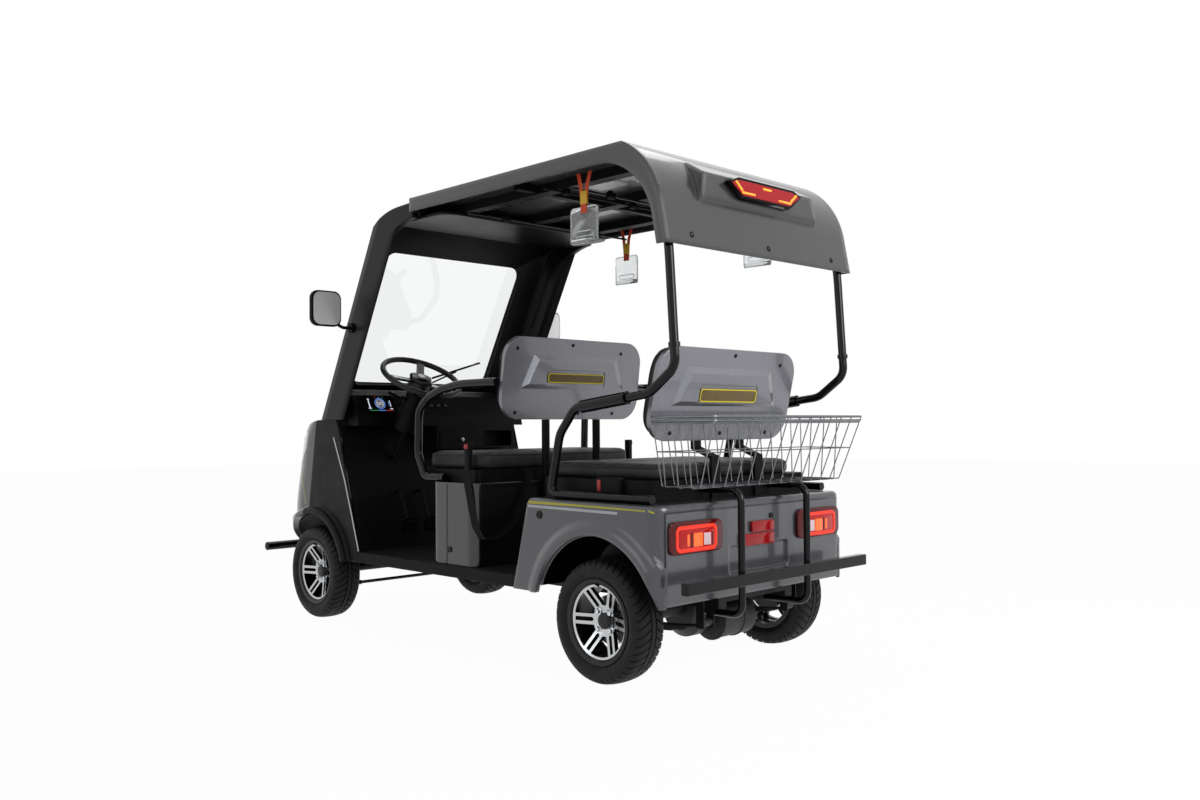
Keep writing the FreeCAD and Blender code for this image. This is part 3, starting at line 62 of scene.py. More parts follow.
def new_finish(name, **sockets):
    """Empty finish: material, node tree, shader with its sockets set, and object place."""
    finish = bpy.data.materials.new(name)
    finish.use_nodes = True
    tree = finish.node_tree
    shader = tree.nodes["Principled BSDF"]
    for socket, value in sockets.items():
        shader.inputs[socket.replace("_", " ")].default_value = value
    return finish, tree, shader, add(tree, "TexCoord").outputs["Object"]


def eased_edge(tree, edge):
    """Normal of the surface as if its edges were rounded over some mm."""
    return add(tree, "Bevel", {"Radius": edge / 1000}, samples=6).outputs[0]


def grained(name, dark, light, roughness, grain, height, patch=60, edge=0, **sockets):
    """Even surface with a fine grain and faint larger patches; grain, patch and edge in mm."""
    finish, tree, shader, place = new_finish(name, Roughness=roughness, **sockets)
    patches = add(tree, "TexNoise", {"Vector": place, "Scale": 1000 / patch, "Detail": 5})
    tone = add(tree, "Mix", {0: patches.outputs[0], 6: linear(dark), 7: linear(light)},
               data_type="RGBA")
    tree.links.new(tone.outputs[2], shader.inputs["Base Color"])
    rub = add(tree, "MapRange", {"Value": patches.outputs[0], "From Min": 0.3, "From Max": 0.7,
                                 "To Min": roughness * 0.85, "To Max": roughness * 1.15})
    tree.links.new(rub.outputs[0], shader.inputs["Roughness"])
    fine = add(tree, "TexNoise", {"Vector": place, "Scale": 1000 / grain, "Detail": 2})
    bump = add(tree, "Bump", {"Height": fine.outputs[0], "Strength": 0.35,
                              "Distance": height / 1000})
    if edge:
        tree.links.new(eased_edge(tree, edge), bump.inputs["Normal"])
    tree.links.new(bump.outputs[0], shader.inputs["Normal"])
    return finish


def dress(finish, *names):
    """Gives a finish to CAD nodes that stay."""
    for name in names:
        if not nodes[name].material_slots:
            nodes[name].data.materials.append(finish)
        for held in nodes[name].material_slots:
            held.material = finish


black_enamel = grained("black_enamel", "0c0c0d", "171615", 0.42, 2.5, 0.05,
                       Specular_IOR_Level=0.2)
dress(black_enamel, "frame_rails", "cross_members", "front_axle", "knuckle_left",
      "knuckle_right", "tie_rod")
spring_steel = grained("spring_steel", "19191a", "2a2826", 0.5, 1.5, 0.08, Metallic=0.3)
dress(spring_steel, "front_springs", "rear_springs")
cast_housing = grained("cast_housing", "1a1a1b", "2c2b2a", 0.55, 1.8, 0.25, Metallic=0.2)
dress(cast_housing, "rear_axle")


# Tyres: black vulcanised rubber with slanted tread blocks, a solid rib in the middle and a
# serrated guard band on each wall. They are moulded in one piece and pressed on the rims.
AXLE_X = -0.876  # the rear axle in the frame, in metres; other sizes are in millimetres
WHEELS = {
    "front_left": (1800, 448), "front_right": (1800, -448),
    "rear_left": (0, 448), "rear_right": (0, -448),
}
TREAD_R = 205
PITCHES = 44
GROOVE = 5.5
TREAD_DEEP = 6
RIB = 13
ROUND_GROOVE = (9, 12)
SHOULDER = 61.5
SLANT = 0.62  # how far a groove runs round the tyre for each millimetre across it
# The carcass in section as (y, radius): half of its outside, then the whole inside.
WALL_LINE = [(51.7, 127.3), (51.7, 142.5), (58, 149), (63, 157), (65, 166), (64.4, 176)]
TREAD_LINE = [(61.5, 186), (58, 192), (53, 197), (46, 200.6), (38, 202.4), (30, 203.4),
              (22, 204.1), (13, 204.7), (8, 204.9)]
LINER_LINE = [(-39.7, 127.3), (-54, 165), (-47, 188), (0, 194), (47, 188), (54, 165),
              (39.7, 127.3), (51.7, 127.3)]


def spot(x, y, z):
    """A place in millimetres ahead of, left of and above the rear axle's ground point."""
    return Vector((x / 1000 + AXLE_X, y / 1000, z / 1000))


def primitive(kind, name, **sizes):
    """Adds a mesh primitive with nothing else selected."""
    bpy.ops.object.select_all(action="DESELECT")
    getattr(bpy.ops.mesh, "primitive_%s_add" % kind)(**sizes)
    bpy.context.object.name = name
    return bpy.context.object


def hold(*pieces):
    """Selects these pieces and nothing else, the first of them active."""
    bpy.ops.object.select_all(action="DESELECT")
    for piece in pieces:
        piece.select_set(True)
    bpy.context.view_layer.objects.active = pieces[0]


def pick(piece, mode, test):
    """Opens the piece in edit mode with only what passes the test selected."""
    hold(piece)
    bpy.ops.object.mode_set(mode="EDIT")
    bpy.ops.mesh.select_mode(type=mode)
    bpy.ops.mesh.select_all(action="DESELECT")
    bpy.ops.object.mode_set(mode="OBJECT")
    kinds = {"FACE": piece.data.polygons, "EDGE": piece.data.edges, "VERT": piece.data.vertices}
    for item in kinds[mode]:
        item.select = test(item)
    bpy.ops.object.mode_set(mode="EDIT")


def close_edit():
    """Goes back to object mode."""
    bpy.ops.object.mode_set(mode="OBJECT")


def weld(piece, gap=0.00002):
    """Merges touching points and turns all faces outwards."""
    pick(piece, "VERT", lambda v: True)
    bpy.ops.mesh.remove_doubles(threshold=gap)
    bpy.ops.mesh.normals_make_consistent(inside=False)
    close_edit()


def use_modifier(piece, kind, **settings):
    """Adds a modifier with its settings and applies it."""
    hold(piece)
    modifier = piece.modifiers.new(kind.lower(), kind)
    for name, value in settings.items():
        setattr(modifier, name, value)
    bpy.ops.object.modifier_apply(modifier=modifier.name)


def fit(piece, finish, body="chassis", smooth=40):
    """Puts the place in the mesh, gives finish and slot, and fixes the piece to its body."""
    hold(piece)
    bpy.ops.object.transform_apply(location=True, rotation=True, scale=True)
    bpy.ops.object.shade_smooth_by_angle(angle=math.radians(smooth))
    piece.data.materials.clear()
    piece.data.materials.append(finish)
    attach(piece, body)


def lag(y):
    """How far round the tyre a slanted groove has run at y."""
    return max(0.0, min(abs(y), SHOULDER) - RIB) * SLANT


def tread_pitch():
    """One pitch of the carcass laid flat: x round the tyre, y across it, z its radius."""
    line = WALL_LINE + TREAD_LINE
    line = line + [(0, TREAD_R)] + [(-y, r) for y, r in reversed(line)] + LINER_LINE
    pitch = 2 * math.pi * TREAD_R / PITCHES
    stops = [0, GROOVE, (GROOVE + pitch) / 2, pitch]
    piece = primitive("grid", "tread_pitch", x_subdivisions=3, y_subdivisions=len(line) - 1,
                      size=1)
    for v in piece.data.vertices:
        y, radius = line[round((v.co.y + 0.5) * (len(line) - 1))]
        x = stops[round((v.co.x + 0.5) * 3)] + lag(y if radius > 180 else SHOULDER)
        v.co = Vector((x, y, radius)) / 1000

    def in_groove(face):
        x, y, radius = (1000 * c for c in face.center)
        y = abs(y)
        if y < ROUND_GROOVE[1]:
            return y > ROUND_GROOVE[0] and radius > 195
        return y < 64 and radius > max(181, 195 - y * 0.2) and x - lag(y) < GROOVE

    pick(piece, "FACE", in_groove)
    bpy.ops.mesh.extrude_region_move()
    bpy.ops.transform.translate(value=(0, 0, -TREAD_DEEP / 1000))
    close_edit()

    def in_band(face):
        x, y, radius = (1000 * c for c in face.center)
        return abs(y) > 60 and 150 < radius < 156 and x < lag(SHOULDER) + 15

    pick(piece, "FACE", in_band)
    bpy.ops.mesh.inset(thickness=0.0008, use_boundary=True)
    bpy.ops.transform.shrink_fatten(value=0.0006)
    close_edit()
    return piece, pitch


def roll_up(piece):
    """Rolls the flat band up about the wheel's axis."""
    for v in piece.data.vertices:
        angle = v.co.x * 1000 / TREAD_R
        radius = v.co.z
        v.co = Vector((radius * math.cos(angle), v.co.y, radius * math.sin(angle)))
    weld(piece, 0.0001)


def copy_of(piece, name, matrix):
    """Copy with its own mesh, moved by a matrix."""
    copy = piece.copy()
    copy.data = piece.data.copy()
    copy.name = name
    bpy.context.collection.objects.link(copy)
    copy.data.transform(matrix)
    return copy


def drop(*pieces):
    """Takes models out of the scene once their copies are made."""
    for piece in pieces:
        bpy.data.objects.remove(piece)


def at_wheel(piece, name, wheel, finish, smooth=40):
    """Fits a copy of a piece drawn about the origin to one wheel, its face outwards."""
    x, y = WHEELS[wheel]
    turn = Matrix.Rotation(0 if y > 0 else math.pi, 4, "Z")
    copy = copy_of(piece, name + wheel, Matrix.Translation(spot(x, y, TREAD_R)) @ turn)
    fit(copy, finish, "wheel_" + wheel, smooth)
    return copy


tread, tread_pitch_mm = tread_pitch()
use_modifier(tread, "ARRAY", count=PITCHES, use_relative_offset=False, use_constant_offset=True,
             constant_offset_displace=(tread_pitch_mm / 1000, 0, 0), use_merge_vertices=True,
             merge_threshold=0.00002)
roll_up(tread)
tyre_rubber = grained("tyre_rubber", "121213", "1d1d1d", 0.6, 1.2, 0.12, patch=25,
                      Specular_IOR_Level=0.2)
for wheel in WHEELS:
    road_tyre = at_wheel(tread, "road_tyre_", wheel, tyre_rubber, 30)
    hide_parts("tyre_" + wheel)
drop(tread)


# Rims: cast aluminium, the recesses sprayed gloss black and the outward faces then cut
# bright on a lathe. Four chromed nuts hold each one, round a plain cap.
def from_axle(tree, place, axle):
    """Distance of each place from a wheel's axle, seen from the side, in metres."""
    out = add(tree, "VectorMath", {0: place, 1: spot(axle, 0, TREAD_R)}, operation="SUBTRACT")
    out = add(tree, "VectorMath", {0: out.outputs[0], 1: (1, 0, 1)}, operation="MULTIPLY")
    return add(tree, "VectorMath", {0: out.outputs[0]}, operation="LENGTH").outputs["Value"]


def machined_rim(name, axle):
    """Bright where a face looks along the axle within the spokes' reach, else black paint."""
    finish, tree, shader, place = new_finish(name, Roughness=0.22, Specular_IOR_Level=0.3)
    reach = add(tree, "MapRange", {"Value": from_axle(tree, place, axle), "From Min": 0.1235,
                                   "From Max": 0.1225})
    facing = add(tree, "SeparateXYZ", {0: add(tree, "TexCoord").outputs["Normal"]})
    along = add(tree, "Math", {0: facing.outputs["Y"]}, operation="ABSOLUTE")
    cut = add(tree, "MapRange", {"Value": along.outputs[0], "From Min": 0.86, "From Max": 0.9})
    cut = add(tree, "Math", {0: cut.outputs[0], 1: reach.outputs[0]}, operation="MULTIPLY")
    tone = add(tree, "Mix", {0: cut.outputs[0], 6: linear("0a0a0b"), 7: linear("b9bbbd")},
               data_type="RGBA")
    tree.links.new(tone.outputs[2], shader.inputs["Base Color"])
    tree.links.new(cut.outputs[0], shader.inputs["Metallic"])
    # Cutting lines are drawn a millimetre apart, coarser than real, so that they show.
    lines = add(tree, "TexNoise", {"Vector": place, "Scale": 900, "Detail": 1})
    bump = add(tree, "Bump", {"Height": lines.outputs[0], "Strength": 0.1, "Distance": 0.0001})
    tree.links.new(bump.outputs[0], shader.inputs["Normal"])
    return finish


def lathe(name, rings, sides=32):
    """Turned piece about +Z through the origin, from rings of (radius, height) in mm."""
    radius, height = rings[0]
    piece = primitive("circle", name, vertices=sides, radius=radius / 1000, fill_type="NGON",
                      location=(0, 0, height / 1000))
    bpy.ops.object.transform_apply(location=True)
    pick(piece, "FACE", lambda f: True)
    for (r0, z0), (r1, z1) in zip(rings[:-1], rings[1:]):
        bpy.ops.mesh.extrude_region_move()
        bpy.ops.transform.translate(value=(0, 0, (z1 - z0) / 1000))
        bpy.ops.transform.resize(value=(r1 / r0, r1 / r0, 1))
    close_edit()
    weld(piece, 0.000001)
    return piece


def aim(piece, place, direction):
    """Moves a piece drawn about +Z to a place, its +Z along the direction."""
    turn = Vector(direction).to_track_quat("Z", "Y").to_matrix().to_4x4()
    piece.data.transform(Matrix.Translation(place) @ turn)
    return piece


def merge(name, pieces):
    """Joins pieces into one object."""
    hold(*pieces)
    bpy.ops.object.join()
    pieces[0].name = name
    return pieces[0]


dress(machined_rim("machined_rear", 0), "rim_rear_left", "rim_rear_right")
dress(machined_rim("machined_front", 1800), "rim_front_left", "rim_front_right")
chrome = grained("chrome", "c9cbcd", "dcdee0", 0.09, 3, 0.01, Metallic=1.0)
cap_black = grained("cap_black", "101011", "161617", 0.2, 4, 0.02, Specular_IOR_Level=0.3)
OUTWARD = Matrix.Rotation(-math.pi / 2, 4, "X")
NUT_CIRCLE, NUT_SEAT, CAP_SEAT = 0.041, 0.0155, 0.0225
nut = lathe("nut", [(9.6, 0), (9.6, 10), (8.2, 12.5), (5, 13.4), (4.4, 11)], 6)
washer = lathe("washer", [(11.5, 0), (11.5, 1.6), (10.6, 2.2)], 24)
nut = merge("nut", [nut, washer])
ring = []
for k in range(4):
    turn = math.radians(45 + 90 * k)
    place = (NUT_CIRCLE * math.cos(turn), NUT_SEAT, NUT_CIRCLE * math.sin(turn))
    ring.append(copy_of(nut, "nut", Matrix.Translation(place) @ OUTWARD))
nuts = merge("nuts", ring)
cap = lathe("cap", [(24.5, 0), (24.5, 3.2), (23, 4.6), (19, 5.4), (12, 5.9), (4, 6.1)], 40)
cap.data.transform(Matrix.Translation((0, CAP_SEAT, 0)) @ OUTWARD)
stem = lathe("stem", [(4, 0), (4, 9), (3, 11), (3, 22), (3.6, 22.5), (3.6, 30), (2.8, 31)], 12)
stem.data.transform(Matrix.Translation((0, 0.034, 0.112))
                    @ Matrix.Rotation(math.radians(-62), 4, "X"))
for wheel in WHEELS:
    at_wheel(nuts, "wheel_nuts_", wheel, chrome)
    at_wheel(cap, "hub_cap_", wheel, cap_black)
    at_wheel(stem, "valve_", wheel, tyre_rubber)
drop(nut, nuts, cap, stem)


# Floor: a pressed pan with rolled sills and raised tread strips, covered by a black rubber
# mat with a fine pebble. The toe board and inner wheel housings are black ABS.
def pebbled(name, dark, light, roughness, cell, height, **sockets):
    """Moulded rubber or vinyl with rounded pebbles; cell is their width in mm. The tone is
    darker in the gaps between the pebbles, as painted shade.
    """
    finish, tree, shader, place = new_finish(name, Roughness=roughness, **sockets)
    # Worn patches are about 70 mm wide.
    patches = add(tree, "TexNoise", {"Vector": place, "Scale": 14, "Detail": 5})
    cells = add(tree, "TexVoronoi", {"Vector": place, "Scale": 1000 / cell})
    # Worn patches times the distance from each pebble's middle: the worn tone, darkened in the
    # gaps between pebbles as painted shade.
    wear_and_gap_shade = add(tree, "Math", {0: patches.outputs[0], 1: cells.outputs["Distance"]},
               operation="MULTIPLY")
    tone = add(tree, "Mix", {0: wear_and_gap_shade.outputs[0], 6: linear(light), 7: linear(dark)},
               data_type="RGBA")
    tree.links.new(tone.outputs[2], shader.inputs["Base Color"])
    bump = add(tree, "Bump", {"Height": cells.outputs["Distance"], "Strength": 0.5,
                              "Distance": height / 1000}, invert=True)
    tree.links.new(bump.outputs[0], shader.inputs["Normal"])
    return finish


floor_rubber = pebbled("floor_rubber", "0c0c0d", "181818", 0.6, 3.2, 0.35,
                       Specular_IOR_Level=0.1)
dress(floor_rubber, "floor_pan")
moulded_black = grained("moulded_black", "080809", "0f0f10", 0.5, 1.6, 0.05,
                        Specular_IOR_Level=0.08)
dress(moulded_black, "toe_board", "front_liners", "pedals")


# Body panels: nose, rear tub, rear panel, seat box and backrest shells in ABS sprayed
# metallic grey under clear lacquer. The one paint comes in four copies of painted light and
# shade: lightest on the backrest shells, light on the rear panel, darker on the tub and
# darkest on the nose and the seat box. The flakes are drawn near a millimetre wide, coarser
# than real, so that they glint, and the lacquer shows an orange peel of 4 mm.
def lacquered(name, dark, light, roughness, flake, edge):
    """Metallic base coat with flakes under a clear coat; flake and rounded edge in mm."""
    finish, tree, shader, place = new_finish(name, Metallic=0.6, Roughness=roughness,
                                             Coat_Weight=0.8, Coat_Roughness=0.06)
    flakes = add(tree, "TexVoronoi", {"Vector": place, "Scale": 1000 / flake})
    glint = add(tree, "SeparateColor", {0: flakes.outputs["Color"]})
    tone = add(tree, "Mix", {0: glint.outputs[0], 6: linear(dark), 7: linear(light)},
               data_type="RGBA")
    tree.links.new(tone.outputs[2], shader.inputs["Base Color"])
    soft = eased_edge(tree, edge)
    tilt = add(tree, "Bump", {"Height": glint.outputs[1], "Strength": 0.12,
                              "Distance": 0.0002, "Normal": soft})
    tree.links.new(tilt.outputs[0], shader.inputs["Normal"])
    peel = add(tree, "TexNoise", {"Vector": place, "Scale": 260, "Detail": 1})
    skin = add(tree, "Bump", {"Height": peel.outputs[0], "Strength": 0.06,
                              "Distance": 0.0004, "Normal": soft})
    tree.links.new(skin.outputs[0], shader.inputs["Coat Normal"])
    return finish


def black_in_arches(finish, radius, wall):
    """Near-black, matte, unlacquered colour within the wheel arches: radius from the axle, up to
    the side wall.
    """
    tree = finish.node_tree
    shader = tree.nodes["Principled BSDF"]
    place = add(tree, "TexCoord").outputs["Object"]
    side = add(tree, "SeparateXYZ", {0: place})
    side = add(tree, "Math", {0: side.outputs["Y"]}, operation="ABSOLUTE")
    near = add(tree, "Math", {0: from_axle(tree, place, 0), 1: radius / 1000},
               operation="LESS_THAN")
    inner = add(tree, "Math", {0: side.outputs[0], 1: wall / 1000}, operation="LESS_THAN")
    in_arch = add(tree, "Math", {0: near.outputs[0], 1: inner.outputs[0]}, operation="MULTIPLY")
    bare = add(tree, "Math", {0: 1.0, 1: in_arch.outputs[0]}, operation="SUBTRACT")
    paint = shader.inputs["Base Color"].links[0].from_socket
    tone = add(tree, "Mix", {0: in_arch.outputs[0], 6: paint, 7: linear("0b0b0c")},
               data_type="RGBA")
    tree.links.new(tone.outputs[2], shader.inputs["Base Color"])
    for socket, value in (("Metallic", 0.6), ("Coat Weight", 0.8), ("Specular IOR Level", 0.5)):
        amount = add(tree, "Math", {0: bare.outputs[0], 1: value}, operation="MULTIPLY")
        tree.links.new(amount.outputs[0], shader.inputs[socket])


# Painted light: the rear panel faces the key lamp, so it gets a lighter copy of the body paint.
lit_grey_rear_panel = lacquered("lit_grey_rear_panel", "404146", "5a5b60", 0.34, 0.9, 14)
dress(lit_grey_rear_panel, "rear_panel")
# Painted shade: the tub's sides face away from the key lamp, so the tub gets a darker copy of the
# body paint.
shaded_grey_tub = lacquered("shaded_grey_tub", "323338", "494a4f", 0.34, 0.9, 14)
black_in_arches(shaded_grey_tub, 287.5, 503)
dress(shaded_grey_tub, "rear_tub")
# Painted light: the backrest shells' backs face the key lamp, so they get the lightest copy of the
# body paint.
lit_grey_shells = lacquered("lit_grey_shells", "66676d", "87888f", 0.32, 0.9, 5)
dress(lit_grey_shells, "front_backrest", "rear_backrest")
# Painted shade: the nose and the seat box get the darkest copy of the body paint.
shaded_grey_front = lacquered("shaded_grey_front", "1b1b1d", "2a2a2d", 0.28, 0.9, 8)
dress(shaded_grey_front, "nose_shell", "seat_pedestal")
dark_panel = grained("dark_panel", "0a0a0b", "111112", 0.45, 1.4, 0.04, edge=6,
                     Specular_IOR_Level=0.12)
dress(dark_panel, "side_panels")


# Side panel edges: a bright metal-coloured strip along the rear edge of each side panel,
# where it meets the open cab. It is a painted highlight for the light that the panel's rounded
# edge catches.
def ribbon(name, points, side, width, thick):
    """Flat strip through points in mm; side is the direction of its width."""
    half = Vector(side).normalized() * width / 2000
    piece = primitive("grid", name, x_subdivisions=len(points) - 1, y_subdivisions=1, size=1)
    last = len(points) - 1
    for v in piece.data.vertices:
        place = spot(*points[round((v.co.x + 0.5) * last)])
        v.co = place + (half if v.co.y > 0 else -half)
    use_modifier(piece, "SOLIDIFY", thickness=thick / 1000, offset=0)
    return piece


# Painted highlight: this bright metallic strip stands for light on the side panels' rear edges.
painted_edge_highlight = grained("painted_edge_highlight", "8f9193", "a9abad", 0.25, 2, 0.01, Metallic=0.9)
SIDES = ((1, "left"), (-1, "right"))
for side, hand in SIDES:
    highlight_strip = ribbon("edge_highlight_strip_" + hand, [
        (1641, 500.8 * side, 806), (1551, 500.8 * side, 623), (1495, 500.8 * side, 475),
        (1441, 500.8 * side, 324)], (1, 0, -0.45), 9, 1.2)
    fit(highlight_strip, painted_edge_highlight)


# Seats: foam under black pebbled vinyl, sewn from a top and a boxing with a welt in the
# seam, stapled to boards. They sit on a black tray and on a black moulded deck.
BOARD_SHIFT = Matrix.Translation(-spot(0, 0, 0))


def leaning(foot, lean):
    """Place of a part drawn upright over the rear axle: its foot there, leaning back."""
    return Matrix.Translation(foot) @ Matrix.Rotation(-lean, 4, "Y") @ BOARD_SHIFT


FRONT_BOARD = leaning(spot(650, 0, 875), math.atan2(650 - 607, 1195 - 875))
REAR_BOARD = leaning(spot(-113, 0, 795), math.atan2(187 - 113, 1110 - 795))


def slab(name, low, high, axis, corner, edge=0.0, steps=5):
    """Rounded block: corners about the axis and an eased rim, sizes in mm."""
    low, high = spot(*low), spot(*high)
    piece = primitive("cube", name, size=1, location=(low + high) / 2)
    piece.scale = high - low
    bpy.ops.object.transform_apply(location=True, scale=True)

    def along(e):
        a, b = (piece.data.vertices[v].co for v in e.vertices)
        return abs((a - b)[axis]) > 0.99 * (a - b).length

    def on_end(e):
        ends = [piece.data.vertices[v].co[axis] for v in e.vertices]
        return any(all(abs(end - face) < 1e-6 for end in ends)
                   for face in (low[axis], high[axis]))

    for test, size, segments in ((along, corner, steps), (on_end, edge, 2)):
        if size:
            pick(piece, "EDGE", test)
            bpy.ops.mesh.bevel(offset=size / 1000, segments=segments, affect="EDGES")
            close_edit()
    return piece


def rounded(x0, x1, y0, y1, corner, step=None, turns=8):
    """Places round a rectangle with rounded corners, as pairs; step fills the long runs."""
    ring = []
    for k, (x, y) in enumerate([(x1, y1), (x0, y1), (x0, y0), (x1, y0)]):
        mid_x = x - corner if x == x1 else x + corner
        mid_y = y - corner if y == y1 else y + corner
        for s in range(turns + 1):
            turn = math.radians(90 * (k + s / turns))
            ring.append((mid_x + corner * math.cos(turn), mid_y + corner * math.sin(turn)))
    if not step:
        return ring
    filled = []
    for a, b in zip(ring, ring[1:] + ring[:1]):
        parts = max(1, round(math.dist(a, b) / step))
        filled += [(a[0] + (b[0] - a[0]) * i / parts, a[1] + (b[1] - a[1]) * i / parts)
                   for i in range(parts)]
    return filled


def outline_at(x, *sizes):
    """Places round an upright rounded rectangle at one x: y0, y1, z0, z1, corner, step."""
    return [spot(x, y, z) for y, z in rounded(*sizes)]


def pipe(name, points, radius, sides=10, closed=False):
    """Round tube through places; radius in mm."""
    around = points + points[:1] if closed else points
    last = len(around) - 1
    piece = primitive("grid", name, x_subdivisions=last, y_subdivisions=sides, size=1)
    ahead = (around[1] - around[0]).normalized()
    across = ahead.orthogonal().normalized()
    rings = []
    for i, place in enumerate(around):
        before = around[i - 1] if i else (around[-2] if closed else place)
        after = around[i + 1] if i < last else (around[1] if closed else place)
        ahead = (after - before).normalized()
        across = (across - ahead * across.dot(ahead)).normalized()
        rings.append((place, across.copy(), ahead.cross(across)))
    if closed:
        rings[-1] = rings[0]
    for v in piece.data.vertices:
        place, side, up = rings[round((v.co.x + 0.5) * last)]
        turn = 2 * math.pi * round((v.co.y + 0.5) * sides) / sides
        v.co = place + (side * math.cos(turn) + up * math.sin(turn)) * radius / 1000
    pick(piece, "VERT", lambda v: True)
    bpy.ops.mesh.remove_doubles(threshold=0.00001)
    bpy.ops.mesh.fill_holes(sides=0)
    bpy.ops.mesh.normals_make_consistent(inside=False)
    close_edit()
    return piece


def stuffed(piece, low, high, cap, moments=20):
    """Blows a block up like foam under vinyl: no point moves over cap or leaves low to high."""
    use_modifier(piece, "REMESH", mode="VOXEL", voxel_size=0.008)
    start = [v.co.copy() for v in piece.data.vertices]
    cloth = piece.modifiers.new("cloth", "CLOTH")
    cloth.settings.use_pressure = True
    cloth.settings.uniform_pressure_force = 4
    cloth.settings.effector_weights.gravity = 0
    cloth.point_cache.frame_end = moments
    for moment in range(1, moments + 1):
        bpy.context.scene.frame_set(moment)
    bpy.ops.object.modifier_apply(modifier=cloth.name)
    bpy.context.scene.frame_set(1)
    low, high = spot(*low), spot(*high)
    for v, was in zip(piece.data.vertices, start):
        move = v.co - was
        if move.length > cap / 1000:
            move *= cap / 1000 / move.length
        v.co = [min(max(c, a), b) for c, a, b in zip(was + move, low, high)]
    use_modifier(piece, "SUBSURF", levels=1)


def crease(piece, lines, axis, depth=3.5, width=5):
    """Presses sewn channels into the face that looks along the axis."""
    facing = [v.normal[axis] > 0.55 for v in piece.data.vertices]
    for v, front in zip(piece.data.vertices, facing):
        if front:
            near = min(abs(v.co[line_axis] - place) for line_axis, place in lines)
            v.co[axis] -= depth / 1000 * math.exp(-(near * 1000 / width) ** 2)


def welt(name, piece, ring, radius=3.2):
    """Piping laid on the nearest place of a pad's surface."""
    points = []
    for place in ring:
        _, hit, normal, _ = piece.closest_point_on_mesh(place)
        points.append(hit + normal * 0.0008)
    return pipe(name, points, radius, 8, closed=True)


seat_vinyl = pebbled("seat_vinyl", "202021", "303031", 0.5, 1.6, 0.14,
                     Specular_IOR_Level=0.2)


def upholster(node, block, ring, board=Matrix()):
    """Lays the welt round a stuffed block, covers both in vinyl and sets them in place."""
    piping = welt(node + "_welt", block, ring)
    for piece, smooth in ((block, 80), (piping, 40)):
        piece.data.transform(board)
        fit(piece, seat_vinyl, smooth=smooth)
    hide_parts(node)


SWELL = 9  # furthest that the foam pushes the vinyl out
CUSHIONS = [
    ("front_cushion", (700, -430, 684.4), (1080, 430, 752)),
    ("rear_cushion", (-168, -400, 668.4), (385, 400, 722)),
]
for node, low, high in CUSHIONS:
    (x0, y0, z0), (x1, y1, z1) = low, high
    block = slab(node + "_pad", (x0 + 5, y0 + 5, z0), (x1 - 5, y1 - 5, z1 - 6), 2, 62, 15)
    stuffed(block, low, high, SWELL)
    middle = (x0 + x1) / 2000 + AXLE_X
    crease(block, [(0, middle), (1, -0.13), (1, 0.13)], 2)
    ring = rounded(x0 + 7, x1 - 7, y0 + 7, y1 - 7, 58, 25)
    upholster(node, block, [spot(x, y, z1 - 8) for x, y in ring])

SHELL_FACE = 16.6
BACKS = [
    ("front_backrest_pad", FRONT_BOARD, 375, 323, 60.3),
    ("rear_backrest_pad", REAR_BOARD, 380, 323.6, 62.3),
]
for node, board, half, tall, front in BACKS:
    block = slab(node + "_pad", (SHELL_FACE, 10 - half, 8), (front - 5, half - 10, tall - 8),
                 0, 80, 13)
    stuffed(block, (SHELL_FACE, 6 - half, 4), (front, half - 6, tall - 4), SWELL)
    crease(block, [(2, 0.11), (2, 0.21)], 0)
    upholster(node, block, outline_at(front - 8, 7 - half, half - 7, 5, tall - 5, 78, 25), board)

# Gloss black is powder coat on the tubes; satin black is bare moulded ABS or dip-coated steel.
gloss_black = grained("gloss_black", "060607", "0c0c0d", 0.12, 3, 0.01,
                      Specular_IOR_Level=0.22)
satin_black = grained("satin_black", "090909", "111112", 0.5, 1.5, 0.04,
                      Specular_IOR_Level=0.08)
dress(gloss_black, "front_armrests", "rear_frame_tubes")
dress(satin_black, "front_posts", "rear_posts", "front_seat_tray", "rear_deck", "battery")


# Seat fittings: painted shell screws, a plain badge plate in each shell's pocket, and black
# nylon lap belts that run from a reel to a latch with a red button.
def touch(node, start, direction):
    """First place that a ray meets on a CAD node, and the face's normal there."""
    start, direction = Vector(start), Vector(direction).normalized()
    hit, place, normal, _ = nodes[node].ray_cast(start, direction)
    assert hit, "no %s on the way" % node
    return place, -normal if normal.dot(direction) > 0 else normal


def stand(piece, node, start, direction, sink=0.0):
    """Stands a piece drawn about +Z on a CAD node where a ray meets it, sunk by metres."""
    place, normal = touch(node, start, direction)
    return aim(piece, place - normal * sink, normal)


def stand_each(name, model, node, starts, direction, sink=0.0):
    """Stands a copy of the model on a CAD node from each start, and joins the copies."""
    return merge(name, [stand(copy_of(model, name, Matrix()), node, start, direction, sink)
                        for start in starts])


def span(side, y0, y1):
    """Two y values taken to one side of the cart, the lower one first."""
    return sorted((side * y0, side * y1))


BEHIND = -1.6  # where rays from behind the cart start, in metres
shell_screw = lathe("shell_screw", [(7.5, 0), (7.5, 1.4), (6.6, 2.6), (4.4, 3.4), (2.4, 3.5),
                                    (2.2, 1.8)], 16)
SCREWS = {
    "front_backrest": [(0.314, 1.148), (0.025, 1.172), (-0.252, 1.149), (0.303, 0.902),
                       (-0.032, 0.900), (-0.229, 0.900)],
    "rear_backrest": [(0.30, 1.066), (-0.011, 1.09), (-0.283, 1.066), (0.27, 0.822),
                      (0.004, 0.82), (-0.261, 0.82)],
}
for node, places in SCREWS.items():
    heads = stand_each(node + "_screws", shell_screw, node,
                       [(BEHIND, y, z) for y, z in places], (1, 0, 0))
    fit(heads, gloss_black)
drop(shell_screw)

